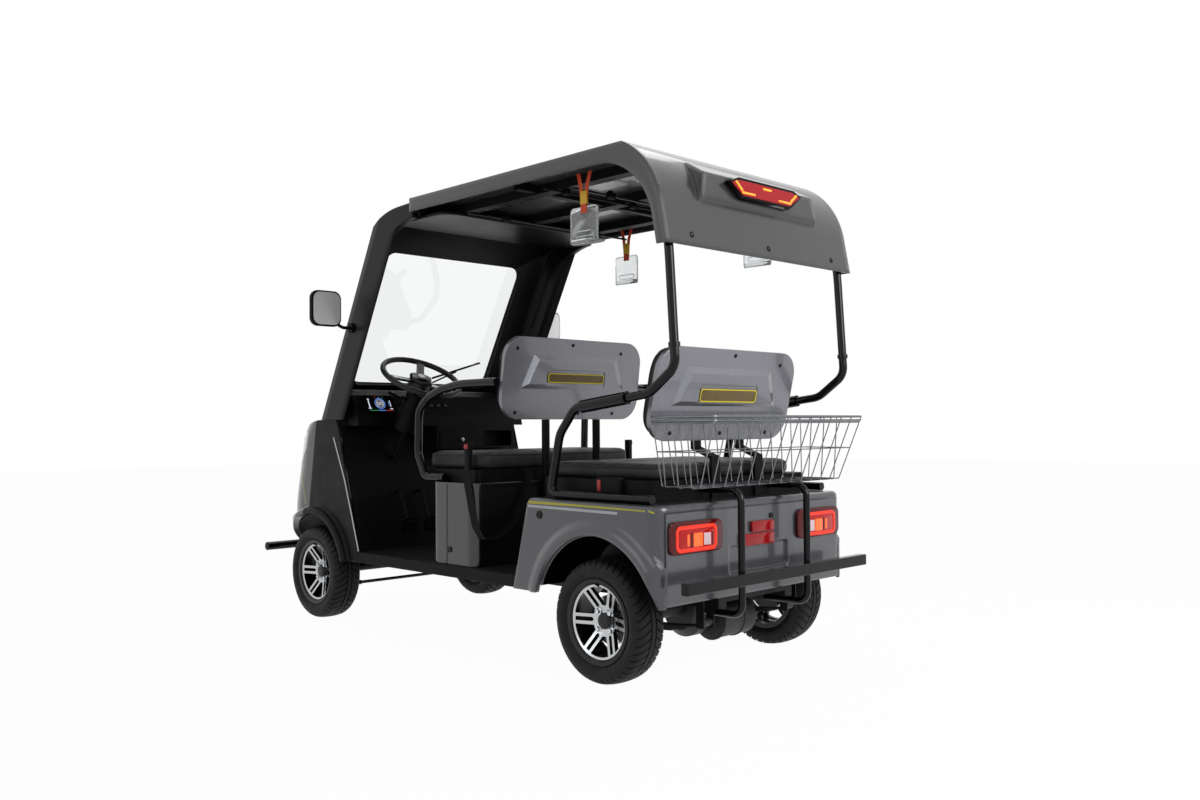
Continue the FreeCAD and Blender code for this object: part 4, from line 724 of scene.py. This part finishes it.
badge_brown = grained("badge_brown", "5a4c30", "6b5b3a", 0.4, 3, 0.02,
                      Specular_IOR_Level=0.2)
badge_yellow = grained("badge_yellow", "d2c01a", "e2d02a", 0.4, 3, 0.02)
BADGES = [
    ("front", FRONT_BOARD, 166, 154, 20), ("rear", REAR_BOARD, 161, 157, 24),
]
for name, board, height, half, tall in BADGES:
    low, high = height - tall, height + tall
    plate = slab(name + "_badge", (-9.4, -half, low), (-6, half, high), 0, 9, 1)
    edge = pipe(name + "_badge_edge", outline_at(-9.5, 3 - half, half - 3, low + 3, high - 3, 8),
                2.1, 6, closed=True)
    for piece, finish in ((plate, badge_brown), (edge, badge_yellow)):
        piece.data.transform(board)
        fit(piece, finish)

webbing, weave_tree, weave_shader, weave_place = new_finish(
    "webbing", Base_Color=linear("101011"), Roughness=0.7, Specular_IOR_Level=0.1)
# Threads run slantwise, about two millimetres apart, coarser than real so that they show.
threads = add(weave_tree, "TexWave", {"Vector": weave_place, "Scale": 320, "Distortion": 0.6},
              bands_direction="DIAGONAL")
raised = add(weave_tree, "Bump", {"Height": threads.outputs[0], "Strength": 0.5,
                                  "Distance": 0.0006})
weave_tree.links.new(raised.outputs[0], weave_shader.inputs["Normal"])
latch_red = grained("latch_red", "a01512", "b81c17", 0.35, 3, 0.02)
dress(satin_black, "belt_buckles")
BELT_LINE = [(716, 483, 686), (706, 487.6, 640), (676, 489, 540), (652, 489, 470),
             (640, 470, 430), (640, 400, 432), (648, 320, 470), (652, 265, 560),
             (655, 225, 650), (672, 215, 688)]
LATCHES = [
    ("front", 745, 767, 454.2, 456.6, 764, 781), ("rear", 30, 46, 450.2, 452.4, 630, 668),
]
for side, hand in SIDES:
    belt = ribbon("lap_belt_" + hand, [(x, side * y, z) for x, y, z in BELT_LINE],
                  (1, 0, 0.12), 46, 1.3)
    fit(belt, webbing)
    for name, x0, x1, y0, y1, z0, z1 in LATCHES:
        y0, y1 = span(side, y0, y1)
        button = slab("%s_latch_%s" % (name, hand), (x0, y0, z0), (x1, y1, z1), 1, 3, 0.6)
        fit(button, latch_red)


# Tail lamps: a red glossy bezel, a bright light guide round the edge and a dark window in
# which an orange and a clear bar stand between ribs. Two red reflectors sit between them.
def lens_plastic(name, dark, light, glow):
    """Lens plastic with prisms 4 mm wide under a glossy face, with a faint glow; on the bezels
    and the reflectors, which hold no lamp, that glow is painted light.
    """
    finish, tree, shader, place = new_finish(name, Roughness=0.1, Specular_IOR_Level=0.3,
                                             Emission_Strength=glow)
    prisms = add(tree, "TexVoronoi", {"Vector": place, "Scale": 260})
    tone = add(tree, "Mix", {0: prisms.outputs["Distance"], 6: linear(dark), 7: linear(light)},
               data_type="RGBA")
    tree.links.new(tone.outputs[2], shader.inputs["Base Color"])
    tree.links.new(tone.outputs[2], shader.inputs["Emission Color"])
    return finish


# The bezel's faint glow is painted light: the bezel holds no lamp.
bezel_red = lens_plastic("bezel_red", "3a0407", "5c070c", 0.03)
guide_red = lens_plastic("guide_red", "e01a0e", "f43a20", 0.4)
window_red = lens_plastic("window_red", "8c0809", "b51210", 0.15)
bar_orange = lens_plastic("bar_orange", "e8481c", "ff7a38", 0.45)
bar_clear = lens_plastic("bar_clear", "b79aa2", "d5bcc2", 0.15)
# The reflectors' faint glow is painted light: they hold no lamp.
reflex_red = lens_plastic("reflex_red", "6a0409", "a30d14", 0.05)
LAMP_PARTS = [
    ("bezel", bezel_red, 211, 473, 441, 545, -297.5, -285.4, 26, 4),
    ("window", window_red, 255, 432, 457, 518, -298.4, -296.8, 14, 0.6),
    ("bar_orange", bar_orange, 316, 362, 462, 505, -299.5, -298, 3, 0.6),
    ("bar_clear", bar_clear, 277, 311, 464, 503, -299.5, -298, 3, 0.6),
    ("rib_outer", bezel_red, 366, 374, 460, 508, -299.6, -298, 2, 0.6),
    ("rib_middle", bar_orange, 381, 392, 466, 503, -299.2, -298, 2, 0.6),
    ("rib_inner", bezel_red, 266, 271, 462, 506, -299.6, -298, 2, 0.6),
]
GUIDE_X = -298
flatten = (Matrix.Translation(spot(GUIDE_X, 0, 0)) @ Matrix.Diagonal((0.35, 1, 1, 1))
           @ Matrix.Translation(-spot(GUIDE_X, 0, 0)))
for side, hand in SIDES:
    for name, finish, y0, y1, z0, z1, x0, x1, corner, edge in LAMP_PARTS:
        y0, y1 = span(side, y0, y1)
        block = slab("tail_%s_%s" % (name, hand), (x0, y0, z0), (x1, y1, z1), 0, corner, edge)
        fit(block, finish)
        if name == "bezel" and side == 1:
            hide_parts("tail_lamps")
    guide = pipe("tail_guide_" + hand, outline_at(GUIDE_X, *span(side, 250, 440), 453, 525, 17),
                 6.2, closed=True)
    guide.data.transform(flatten)
    fit(guide, guide_red)
for name, y0, y1, z0, z1 in (("upper", -72, 52, 484, 521), ("lower", -72, 112, 440, 480)):
    block = slab("reflector_" + name, (-296, y0, z0), (-285.4, y1, z1), 0, 5, 2)
    fit(block, reflex_red)


# Rear end: wire basket of bright nickel-plated rod, guard tubes and bumper bar in gloss
# black, a filler cap, latch and barrel lock of black plastic, and the vinyl stripe and
# silver edge on the tub's sides.
nickel_wire = grained("nickel_wire", "606265", "8a8c8f", 0.16, 2.5, 0.05, patch=9,
                      Metallic=1.0)
dress(nickel_wire, "basket")
lower_rim = [spot(x, y, 862) for x, y in rounded(-434, -168, -428, 428, 26)]
fit(pipe("basket_lower_rim", lower_rim, 3.4, closed=True), nickel_wire)
dress(gloss_black, "rear_guards", "bumper_bar", "front_bumper")
CATCHES = [
    ("filler_cap", [(15, 0), (15, 2.5), (13, 4.5), (8, 5.2), (7.4, 3.4)],
     "rear_tub", spot(268, 800, 543), (0, -1, 0)),
    ("pedestal_latch", [(12, 0), (12, 3), (9, 5), (8.4, 3.6)],
     "seat_pedestal", spot(819, 800, 379), (0, -1, 0)),
    ("lock", [(10, 0), (10, 3), (9, 4), (6.6, 4.2), (6.2, 3.2)],
     "rear_panel", (BEHIND, -0.066, 0.534), (1, 0, 0)),
]
for name, rings, node, start, direction in CATCHES:
    fit(stand(lathe(name, rings, 24), node, start, direction), gloss_black)


def decal(name, node, tops, lows, toward, lift=0.3):
    """Thin film between two lines of places, laid on a CAD node along a direction."""
    last = len(tops) - 1
    piece = primitive("grid", name, x_subdivisions=last, y_subdivisions=2, size=1)
    for v in piece.data.vertices:
        i = round((v.co.x + 0.5) * last)
        share = v.co.y + 0.5
        aimed = spot(*lows[i]).lerp(spot(*tops[i]), share)
        place, normal = touch(node, aimed - Vector(toward) * 0.3, toward)
        v.co = place + normal * lift / 1000
    use_modifier(piece, "SOLIDIFY", thickness=0.0004, offset=1)
    weld(piece, 0.000001)
    return piece


def eased(line, count):
    """Fills a line of (x, z) places evenly."""
    out = []
    for (x0, z0), (x1, z1) in zip(line[:-1], line[1:]):
        out += [(x0 + (x1 - x0) * i / count, z0 + (z1 - z0) * i / count) for i in range(count)]
    return out + [line[-1]]


stripe_yellow = grained("stripe_yellow", "a8a01c", "c2b926", 0.35, 3, 0.01)
edge_silver = grained("edge_silver", "8f9196", "a4a6aa", 0.3, 3, 0.01, Metallic=0.6)
STRIPES = [
    ("stripe", stripe_yellow, [(325, 589), (-5, 586), (-248, 583), (-262, 578)],
     [(325, 580), (-5, 580), (-248, 578), (-262, 573)]),
    ("under_stripe", edge_silver, [(325, 576), (-110, 572)], [(325, 567), (-110, 563)]),
]
for side, hand in SIDES:
    for name, finish, tops, lows in STRIPES:
        tops, lows = ([(x, side * 505, z) for x, z in eased(line, 8)] for line in (tops, lows))
        film = decal("tub_%s_%s" % (name, hand), "rear_tub", tops, lows, (0, -side, 0))
        fit(film, finish)


# Roof: a vacuum-formed skin with a rolled lip in dark satin grey, over black welded bows,
# two clamped steel rods and a glossy grey liner. Dome rivets hold the rear skirt on.
roof_grey = lacquered("roof_grey", "29292b", "363639", 0.42, 0.6, 24)
dress(roof_grey, "roof_shell")
dress(satin_black, "roof_beams")
frame_black = grained("frame_black", "09090a", "0e0e0f", 0.36, 1.2, 0.004, patch=300,
                      edge=12, Specular_IOR_Level=0.16)
dress(frame_black, "windscreen_frame")
liner_grey = grained("liner_grey", "3a3b3d", "4a4b4d", 0.3, 3, 0.03, Coat_Weight=0.4)
dress(liner_grey, "headliner")
ROD_Z, ROD_REACH = 1672, 438
clamps = []
for number, x in enumerate((170, 755)):
    ends = [spot(x, -ROD_REACH, ROD_Z), spot(x, ROD_REACH, ROD_Z)]
    fit(pipe("roof_rod_%d" % number, ends, 4.5), gloss_black)
    for y in (-250, 250):
        ends = [spot(x, y - 17, ROD_Z), spot(x, y + 17, ROD_Z)]
        clamps.append(pipe("clamp", ends, 12, 16))
        clamps.append(slab("clamp", (x - 7, y - 9, ROD_Z), (x + 7, y + 9, ROD_Z + 18), 2, 3, 1))
fit(merge("roof_rod_clamps", clamps), satin_black)
rivet = lathe("rivet", [(10.5, 0), (10.5, 1), (7.5, 1.4), (7, 3), (4, 4.4)], 20)
rivets = stand_each("roof_rivets", rivet, "roof_shell",
                    [(BEHIND, y, 1.45) for y in (0.388, -0.016, -0.4)], (1, 0, 0))
fit(rivets, gloss_black)
drop(rivet)


# Roof lamp: a black housing in the pod with a dark red lens, amber bars slanted at both
# ends and a short one in the middle, behind a glossy face.
def plate_of(name, outline, low, high):
    """Flat plate with an outline of (y, z) places, between two x values."""
    piece = primitive("cylinder", name, vertices=len(outline), radius=0.1, depth=2)
    turns = [round(math.atan2(v.co.y, v.co.x), 4) for v in piece.data.vertices]
    order = sorted(set(turns))
    for v, turn in zip(piece.data.vertices, turns):
        v.co = spot(low if v.co.z < 0 else high, *outline[order.index(turn)])
    weld(piece)
    return piece


def hexagon(shrink):
    """The lamp's outline, from its lower left corner, drawn in by some mm."""
    outline = [(-137, 1603), (137, 1603), (200, 1651), (155, 1668), (-155, 1668), (-200, 1651)]
    wide, tall, middle = 1 - shrink / 180, 1 - shrink / 32, 1636
    return [(y * wide, middle + (z - middle) * tall) for y, z in outline]


amber = lens_plastic("amber", "ff8a1e", "ffb040", 0.5)
roof_lens = lens_plastic("roof_lens", "7a000c", "a80414", 0.2)
LAMP_FACE = -334
housing = plate_of("roof_lamp_housing", hexagon(0), LAMP_FACE, -299)
pick(housing, "FACE", lambda f: f.center.x < spot(LAMP_FACE + 0.5, 0, 0).x)
bpy.ops.mesh.inset(thickness=0.004)
bpy.ops.transform.translate(value=(0.004, 0, 0))
close_edit()
fit(housing, gloss_black)
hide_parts("roof_lamp")
lens_plate = plate_of("roof_lamp_lens", hexagon(8), LAMP_FACE, -330.2)
fit(lens_plate, roof_lens)
BARS = [
    [(176, 1653), (140, 1624), (132, 1628), (166, 1656)],
    [(140, 1624), (66, 1624), (66, 1618), (138, 1617)],
    [(26, 1652), (-26, 1652), (-22, 1645), (22, 1645)],
    [(-140, 1624), (-66, 1624), (-66, 1618), (-138, 1617)],
    [(-176, 1653), (-140, 1624), (-132, 1628), (-166, 1656)],
]
bars = []
for bar in BARS:
    y, z = (sum(values) / 4 for values in zip(*bar))
    turned = sorted(bar, key=lambda corner: math.atan2(corner[1] - z, corner[0] - y))
    bars.append(plate_of("bar", turned, -335.2, -334.1))
fit(merge("roof_lamp_bars", bars), amber)


# Grab handles: orange webbing from the roof rail in two legs, gathered by a yellow sleeve,
# holding a clear polycarbonate plate with a hand slot and a thick rounded lower bar.
def plain(name, code, **sockets):
    """One even colour, for what is too smooth to show any grain."""
    return new_finish(name, Base_Color=linear(code), **sockets)[0]


clear_plate = plain("clear_plate", "f2f4f5", Roughness=0.05, IOR=1.45,
                    Transmission_Weight=0.92)
strap_orange = grained("strap_orange", "c8401c", "df5226", 0.6, 1.2, 0.1)
strap_yellow = grained("strap_yellow", "d9a522", "e9bc35", 0.5, 1.2, 0.08)
HANDLES = [("left", 110, 440), ("right_rear", 40, -440), ("right_front", 746, -430)]
RINGS = [("rim", 65, 1475, 1595, 12, 3), ("slot", 44, 1496, 1514, 8.5, 2.6)]
for name, x, y in HANDLES:
    legs = [ribbon("leg", points, (1, 0, 0), width, thick) for points, width, thick in (
        ([(x - 30, y, 1716), (x - 14, y, 1668), (x - 7, y, 1610)], 17, 1.6),
        ([(x + 28, y + 0.4, 1716), (x + 14, y + 1.6, 1668), (x + 7, y + 1.8, 1610)], 17, 1.6),
        ([(x, y - 2.6, z) for z in (1612, 1592, 1576)], 28, 1.4),
        ([(x, y + 3.2, z) for z in (1612, 1592, 1576)], 28, 1.4))]
    fit(merge("handle_strap_" + name, legs), strap_orange)
    sleeve = slab("handle_sleeve_" + name, (x - 16, y - 4.5, 1607), (x + 16, y + 5, 1652),
                  2, 2, 0.8)
    fit(sleeve, strap_yellow)
    sheet = slab("handle_plate_" + name, (x - 66, y - 2, 1474), (x + 66, y + 2, 1596), 1, 12, 0.8)
    fit(sheet, clear_plate)
    for part, half, z0, z1, corner, radius in RINGS:
        places = [spot(px, y, pz) for px, pz in rounded(x - half, x + half, z0, z1, corner)]
        ring = pipe("handle_%s_%s" % (part, name), places, radius, 8, closed=True)
        fit(ring, clear_plate)
    bar = slab("handle_bar_" + name, (x - 62, y - 8, 1472), (x + 62, y + 8, 1490), 0, 7, 2)
    fit(bar, clear_plate)
    if name == "left":
        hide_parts("grab_handles")


# Windscreen: clear safety glass with round corners in a black rubber gasket, a wiper at
# its foot, and a mirror on a short arm at each side of the moulded black frame.
SCREEN = leaning(spot(1719, 0, 1053), math.atan2(305, 560))
screen_glass = plain("screen_glass", "f6f8f8", Roughness=0.0, IOR=1.45,
                     Transmission_Weight=1.0)
dress(screen_glass, "windscreen_glass")
dress(satin_black, "wiper", "mirrors")
seal_rubber = grained("seal_rubber", "0b0b0c", "131313", 0.55, 1.5, 0.04,
                      Specular_IOR_Level=0.3)
gasket = pipe("screen_gasket", outline_at(-1, -385, 385, -1, 639, 61), 5.5, 8, closed=True)
gasket.data.transform(SCREEN)
fit(gasket, seal_rubber)
mirror_silver = plain("mirror_silver", "e2e2e4", Roughness=0.22, Metallic=0.45)
for side, hand in SIDES:
    y0, y1 = span(side, 567, 693)
    face = slab("mirror_glass_" + hand, (1472.8, y0, 1282), (1473.8, y1, 1418), 0, 30)
    fit(face, mirror_silver)


# Front end: each headlamp is a clear polycarbonate lens set flush in the nose, over two
# round glass projectors and under a thin black brow. A double pinstripe follows the nose's
# edge above the arch, and rubber caps close the bumper tube.
def line_on(node, starts, direction, lift):
    """Places where rays meet a CAD node, lifted off it by some metres."""
    met = [touch(node, start, direction) for start in starts]
    return [place + normal * lift for place, normal in met]


AHEAD = 2.0  # where rays from in front of the cart start, in metres
clear_lens = plain("clear_lens", "c9ccd0", Roughness=0.06, Metallic=0.15, Coat_Weight=1.0,
                   Coat_Roughness=0.02)
dress(clear_lens, "headlamps")
lens_blue = plain("lens_blue", "4a5058", Roughness=0.03, Coat_Weight=1.0, Coat_Roughness=0.02)
projector = lathe("projector", [(31, 0), (31, 5), (27, 7), (26, 3.5), (22, 9), (14, 13),
                                (6, 14.6)], 32)
for side, hand in SIDES:
    eyes = stand_each("projectors_" + hand, projector, "headlamps",
                      [(AHEAD, side * y, z) for y, z in ((0.335, 0.735), (0.415, 0.742))],
                      (-1, 0, 0), 0.003)
    fit(eyes, lens_blue)
    brow = line_on("headlamps", [(AHEAD, side * (0.29 + 0.015 * step), 0.8)
                                 for step in range(13)], (-1, 0, 0), 0.0006)
    fit(pipe("lamp_brow_" + hand, brow, 2.6, 8), gloss_black)
    line = eased([(1916, 650), (1894, 567), (1876, 502)], 6)
    for name, finish, shift in (("yellow", stripe_yellow, 0), ("silver", edge_silver, 9)):
        film = decal("pinstripe_%s_%s" % (name, hand), "nose_shell",
                     [(x + shift + 4, side * 480, z) for x, z in line],
                     [(x + shift, side * 480, z) for x, z in line], (0, -side, 0))
        fit(film, finish)
    end = lathe("bumper_cap_" + hand, [(18.6, 0), (18.6, 1.5), (15, 3.5)], 24)
    fit(aim(end, spot(2170, side * 540, 295), (0, side, 0)), seal_rubber)
drop(projector)


# Dashboard: moulded black ABS with a lit instrument screen behind glass, a metal key
# switch, three rockers, and a cubby with a drawer and its turned metal knob.
dress(moulded_black, "dashboard", "glove_shelf", "steering_column")
PANEL = leaning(spot(1510, 0, 905), -math.atan2(46, 85))
screen_black = grained("screen_black", "040405", "070709", 0.08, 5, 0.0, Coat_Weight=0.5)


def lit(name, code, strength):
    """Small lit mark on the instrument screen."""
    return plain(name, "101010", Roughness=0.3, Emission_Color=linear(code),
                 Emission_Strength=strength)


lit_white = lit("lit_white", "e8eeff", 0.9)
lit_blue = lit("lit_blue", "5f8fe8", 0.9)
lit_green = lit("lit_green", "3fae63", 0.6)
lit_red = lit("lit_red", "c8322c", 0.7)


def on_panel(piece, name, finish):
    """Names a piece of the instrument screen, tilts it with the panel and fits it."""
    piece.name = name
    piece.data.transform(PANEL)
    fit(piece, finish)


on_panel(slab("s", (-9.9, 266, 5), (-9.1, 411, 91), 0, 7), "display_screen", screen_black)
for name, radius, thick, finish in (("ring", 25, 1.6, lit_blue), ("dial", 18.5, 0.9, lit_white)):
    circle = [spot(-10.4, 338 + radius * math.cos(k * math.pi / 18),
                   50 + radius * math.sin(k * math.pi / 18)) for k in range(36)]
    on_panel(pipe("r", circle, thick, 6, closed=True), "display_" + name, finish)
digits = []
for middle in (331, 345):
    digits.append(pipe("digit", outline_at(-10.4, middle - 4.5, middle + 4.5, 42, 58, 4), 1.1, 6,
                       closed=True))
on_panel(merge("digits", digits), "display_digits", lit_white)
MARKS = [
    ("left_bar", 392, 397, 28, 66, lit_white), ("left_foot", 387, 402, 24, 27.5, lit_white),
    ("left_head", 390, 399, 69, 74, lit_white), ("right_bar", 284, 287, 34, 66, lit_white),
    ("right_bar_two", 292, 294, 38, 62, lit_blue), ("green_line", 358, 398, 14, 17, lit_green),
    ("blue_line", 318, 356, 14, 17, lit_blue), ("red_line", 280, 316, 14, 17, lit_red),
    ("lamp_one", 355, 359, 80, 83, lit_red), ("lamp_two", 336, 340, 80, 83, lit_blue),
    ("lamp_three", 317, 321, 80, 83, lit_green), ("small_note", 278, 292, 22, 26, lit_white),
]
for name, y0, y1, z0, z1, finish in MARKS:
    on_panel(slab("m", (-10.5, y0, z0), (-9.95, y1, z1), 0, 0), "display_" + name, finish)

satin_metal = grained("satin_metal", "8a8c8f", "a0a2a5", 0.28, 2, 0.02, Metallic=1.0)
CAB = 0.5  # where rays from the cab to the dashboard start, in metres
key_switch = lathe("key_switch", [(15, 0), (15, 3), (13, 4.5), (9, 4.6), (8.6, 7), (3, 7.4)], 24)
fit(stand(key_switch, "dashboard", (CAB, 0.14, 0.945), (1, 0, 0)), satin_metal)
rocker = lathe("rocker", [(17, 0), (17, 2.5), (13.5, 5)], 4)
rocker.data.transform(Matrix.Diagonal((1, 0.62, 1, 1)) @ Matrix.Rotation(math.pi / 4, 4, "Z"))
switches = stand_each("rocker_switches", rocker, "dashboard",
                      [(CAB, y, 0.945) for y in (0.06, 0.02, -0.02)], (1, 0, 0))
fit(switches, gloss_black)
drop(rocker)
knob = lathe("drawer_knob", [(9, 0), (7, 6), (10, 10), (9, 14), (5, 15)], 20)
fit(stand(knob, "glove_shelf", (CAB, -0.076, 0.79), (1, 0, 0)), satin_metal)


# Steering wheel: a foam grip with grained skin, bright covers on the spokes and a faceted
# horn pad. The levers work the lamps and the wiper.
COLUMN_Y = 240
STEER = Matrix.Translation(spot(1350, COLUMN_Y, 1065)) @ Matrix.Rotation(math.radians(-30), 4, "Y")
SPOKE = (Matrix.Translation((0.02, 0, -0.024)) @ Matrix.Rotation(math.radians(-8), 4, "Y")
         @ BOARD_SHIFT)
grip = pebbled("grip", "0c0c0d", "161617", 0.45, 1.2, 0.12, Specular_IOR_Level=0.3)
dress(grip, "steering_wheel")
pad = lathe("horn_pad", [(52, -13.8), (57, -9), (48, 2), (34, 7), (28, 7.4)], 6)
pad.data.transform(STEER)
fit(pad, gloss_black, "steering_wheel", 25)
mark = lathe("horn_mark", [(16, 7.5), (16, 8.6), (12, 9.2)], 32)
mark.data.transform(STEER)
fit(mark, satin_metal, "steering_wheel")
covers = []
for turn in (90, 210):
    cover = slab("cover", (40, -12, 7.15), (128, 12, 9.4), 2, 5, 0.8)
    cover.data.transform(STEER @ Matrix.Rotation(math.radians(turn), 4, "Z") @ SPOKE)
    covers.append(cover)
fit(merge("spoke_covers", covers), satin_metal, "steering_wheel")
LEVERS = [
    ("lever_", [(1404, 30, 968), (1398, 70, 976), (1390, 112, 990)], 4.5, 10),
    ("lever_head_", [(1391, 106, 988), (1386, 140, 998)], 8, 12),
]
for side, hand in SIDES:
    for part, line, radius, sides in LEVERS:
        places = [spot(x, COLUMN_Y + side * y, z) for x, y, z in line]
        fit(pipe(part + hand, places, radius, sides), gloss_black)


# Pedals: stamped steel plates on arms that hang under the column, each with four raised
# rubber ribs moulded on for grip.
ribs = []
for y0, y1 in ((0.128, 0.172), (0.231, 0.293)):
    for z in (0.399, 0.412, 0.425, 0.438):
        starts = [(0.4, y0 + (y1 - y0) * k / 3, z) for k in range(4)]
        ribs.append(pipe("rib", line_on("pedals", starts, (1, 0, 0), 0.0008), 2.2, 6))
fit(merge("pedal_ribs", ribs), seal_rubber)


# Studio: a pale seamless floor, a soft white surround and three large lamps. The camera
# stands behind the cart's left rear corner, at the height of a seated person's chest.
def surround(tree, base, shown):
    """Mixes a base shader with one that the camera, gloss and glass see."""
    path = add(tree, "LightPath")
    seen = add(tree, "Math", {0: path.outputs["Is Camera Ray"],
                              1: path.outputs["Is Glossy Ray"]}, operation="MAXIMUM")
    seen = add(tree, "Math", {0: seen.outputs[0],
                              1: path.outputs["Is Transmission Ray"]}, operation="MAXIMUM")
    return add(tree, "MixShader", {0: seen.outputs[0], 1: base, 2: shown}).outputs[0]


world = bpy.data.worlds.new("studio")
bpy.context.scene.world = world
world.use_nodes = True
sky = world.node_tree
sky.nodes.clear()
even = add(sky, "Background", {"Color": (1, 1, 1, 1), "Strength": 0.3}).outputs[0]
white = add(sky, "Background", {"Color": (1, 1, 1, 1), "Strength": 1.0}).outputs[0]
add(sky, "OutputWorld", {"Surface": surround(sky, even, white)})

FLOOR_GLOW = 0.97
floor = primitive("plane", "floor", size=40, location=(0, 0, 0))
paper = bpy.data.materials.new("paper")
paper.use_nodes = True
page = paper.node_tree
page.nodes.clear()
matte = add(page, "BsdfDiffuse", {"Color": linear("ececec")}).outputs[0]
glow = add(page, "Emission", {"Color": (1, 1, 1, 1), "Strength": 1.0}).outputs[0]
lit_paper = add(page, "MixShader", {0: FLOOR_GLOW, 1: matte, 2: glow}).outputs[0]
add(page, "OutputMaterial", {"Surface": surround(page, matte, lit_paper)})
floor.data.materials.append(paper)

LAMPS = [
    ("key", (-5.2, -0.4, 3.0), (-0.4, 0, 0.8), 2.6, 190),
    ("fill", (0.8, 5.2, 2.2), (0.2, 0, 0.8), 2.4, 22),
    ("top", (0.6, -1.0, 4.6), (0, 0, 0.9), 3.0, 60),
]
for name, place, target, size, power in LAMPS:
    bulb = bpy.data.lights.new(name, "AREA")
    bulb.size = size
    bulb.energy = power
    lamp = bpy.data.objects.new(name, bulb)
    bpy.context.collection.objects.link(lamp)
    lamp.matrix_world = Matrix.Translation(place) @ (
        Vector(target) - Vector(place)).to_track_quat("-Z", "Y").to_matrix().to_4x4()

HEADING, PITCH, ROLL = -44.701, 1.378, -0.436
lens = bpy.data.cameras.new("camera")
lens.sensor_width = 36
lens.lens = 31.92
camera = bpy.data.objects.new("camera", lens)
bpy.context.collection.objects.link(camera)
camera.matrix_world = (
    Matrix.Translation((-3.374, 2.952, 0.849))
    @ Matrix.Rotation(math.radians(HEADING - 90), 4, "Z")
    @ Matrix.Rotation(math.radians(90 + PITCH), 4, "X")
    @ Matrix.Rotation(math.radians(ROLL), 4, "Z"))
bpy.context.scene.camera = camera
bpy.context.scene.view_settings.view_transform = "Standard"
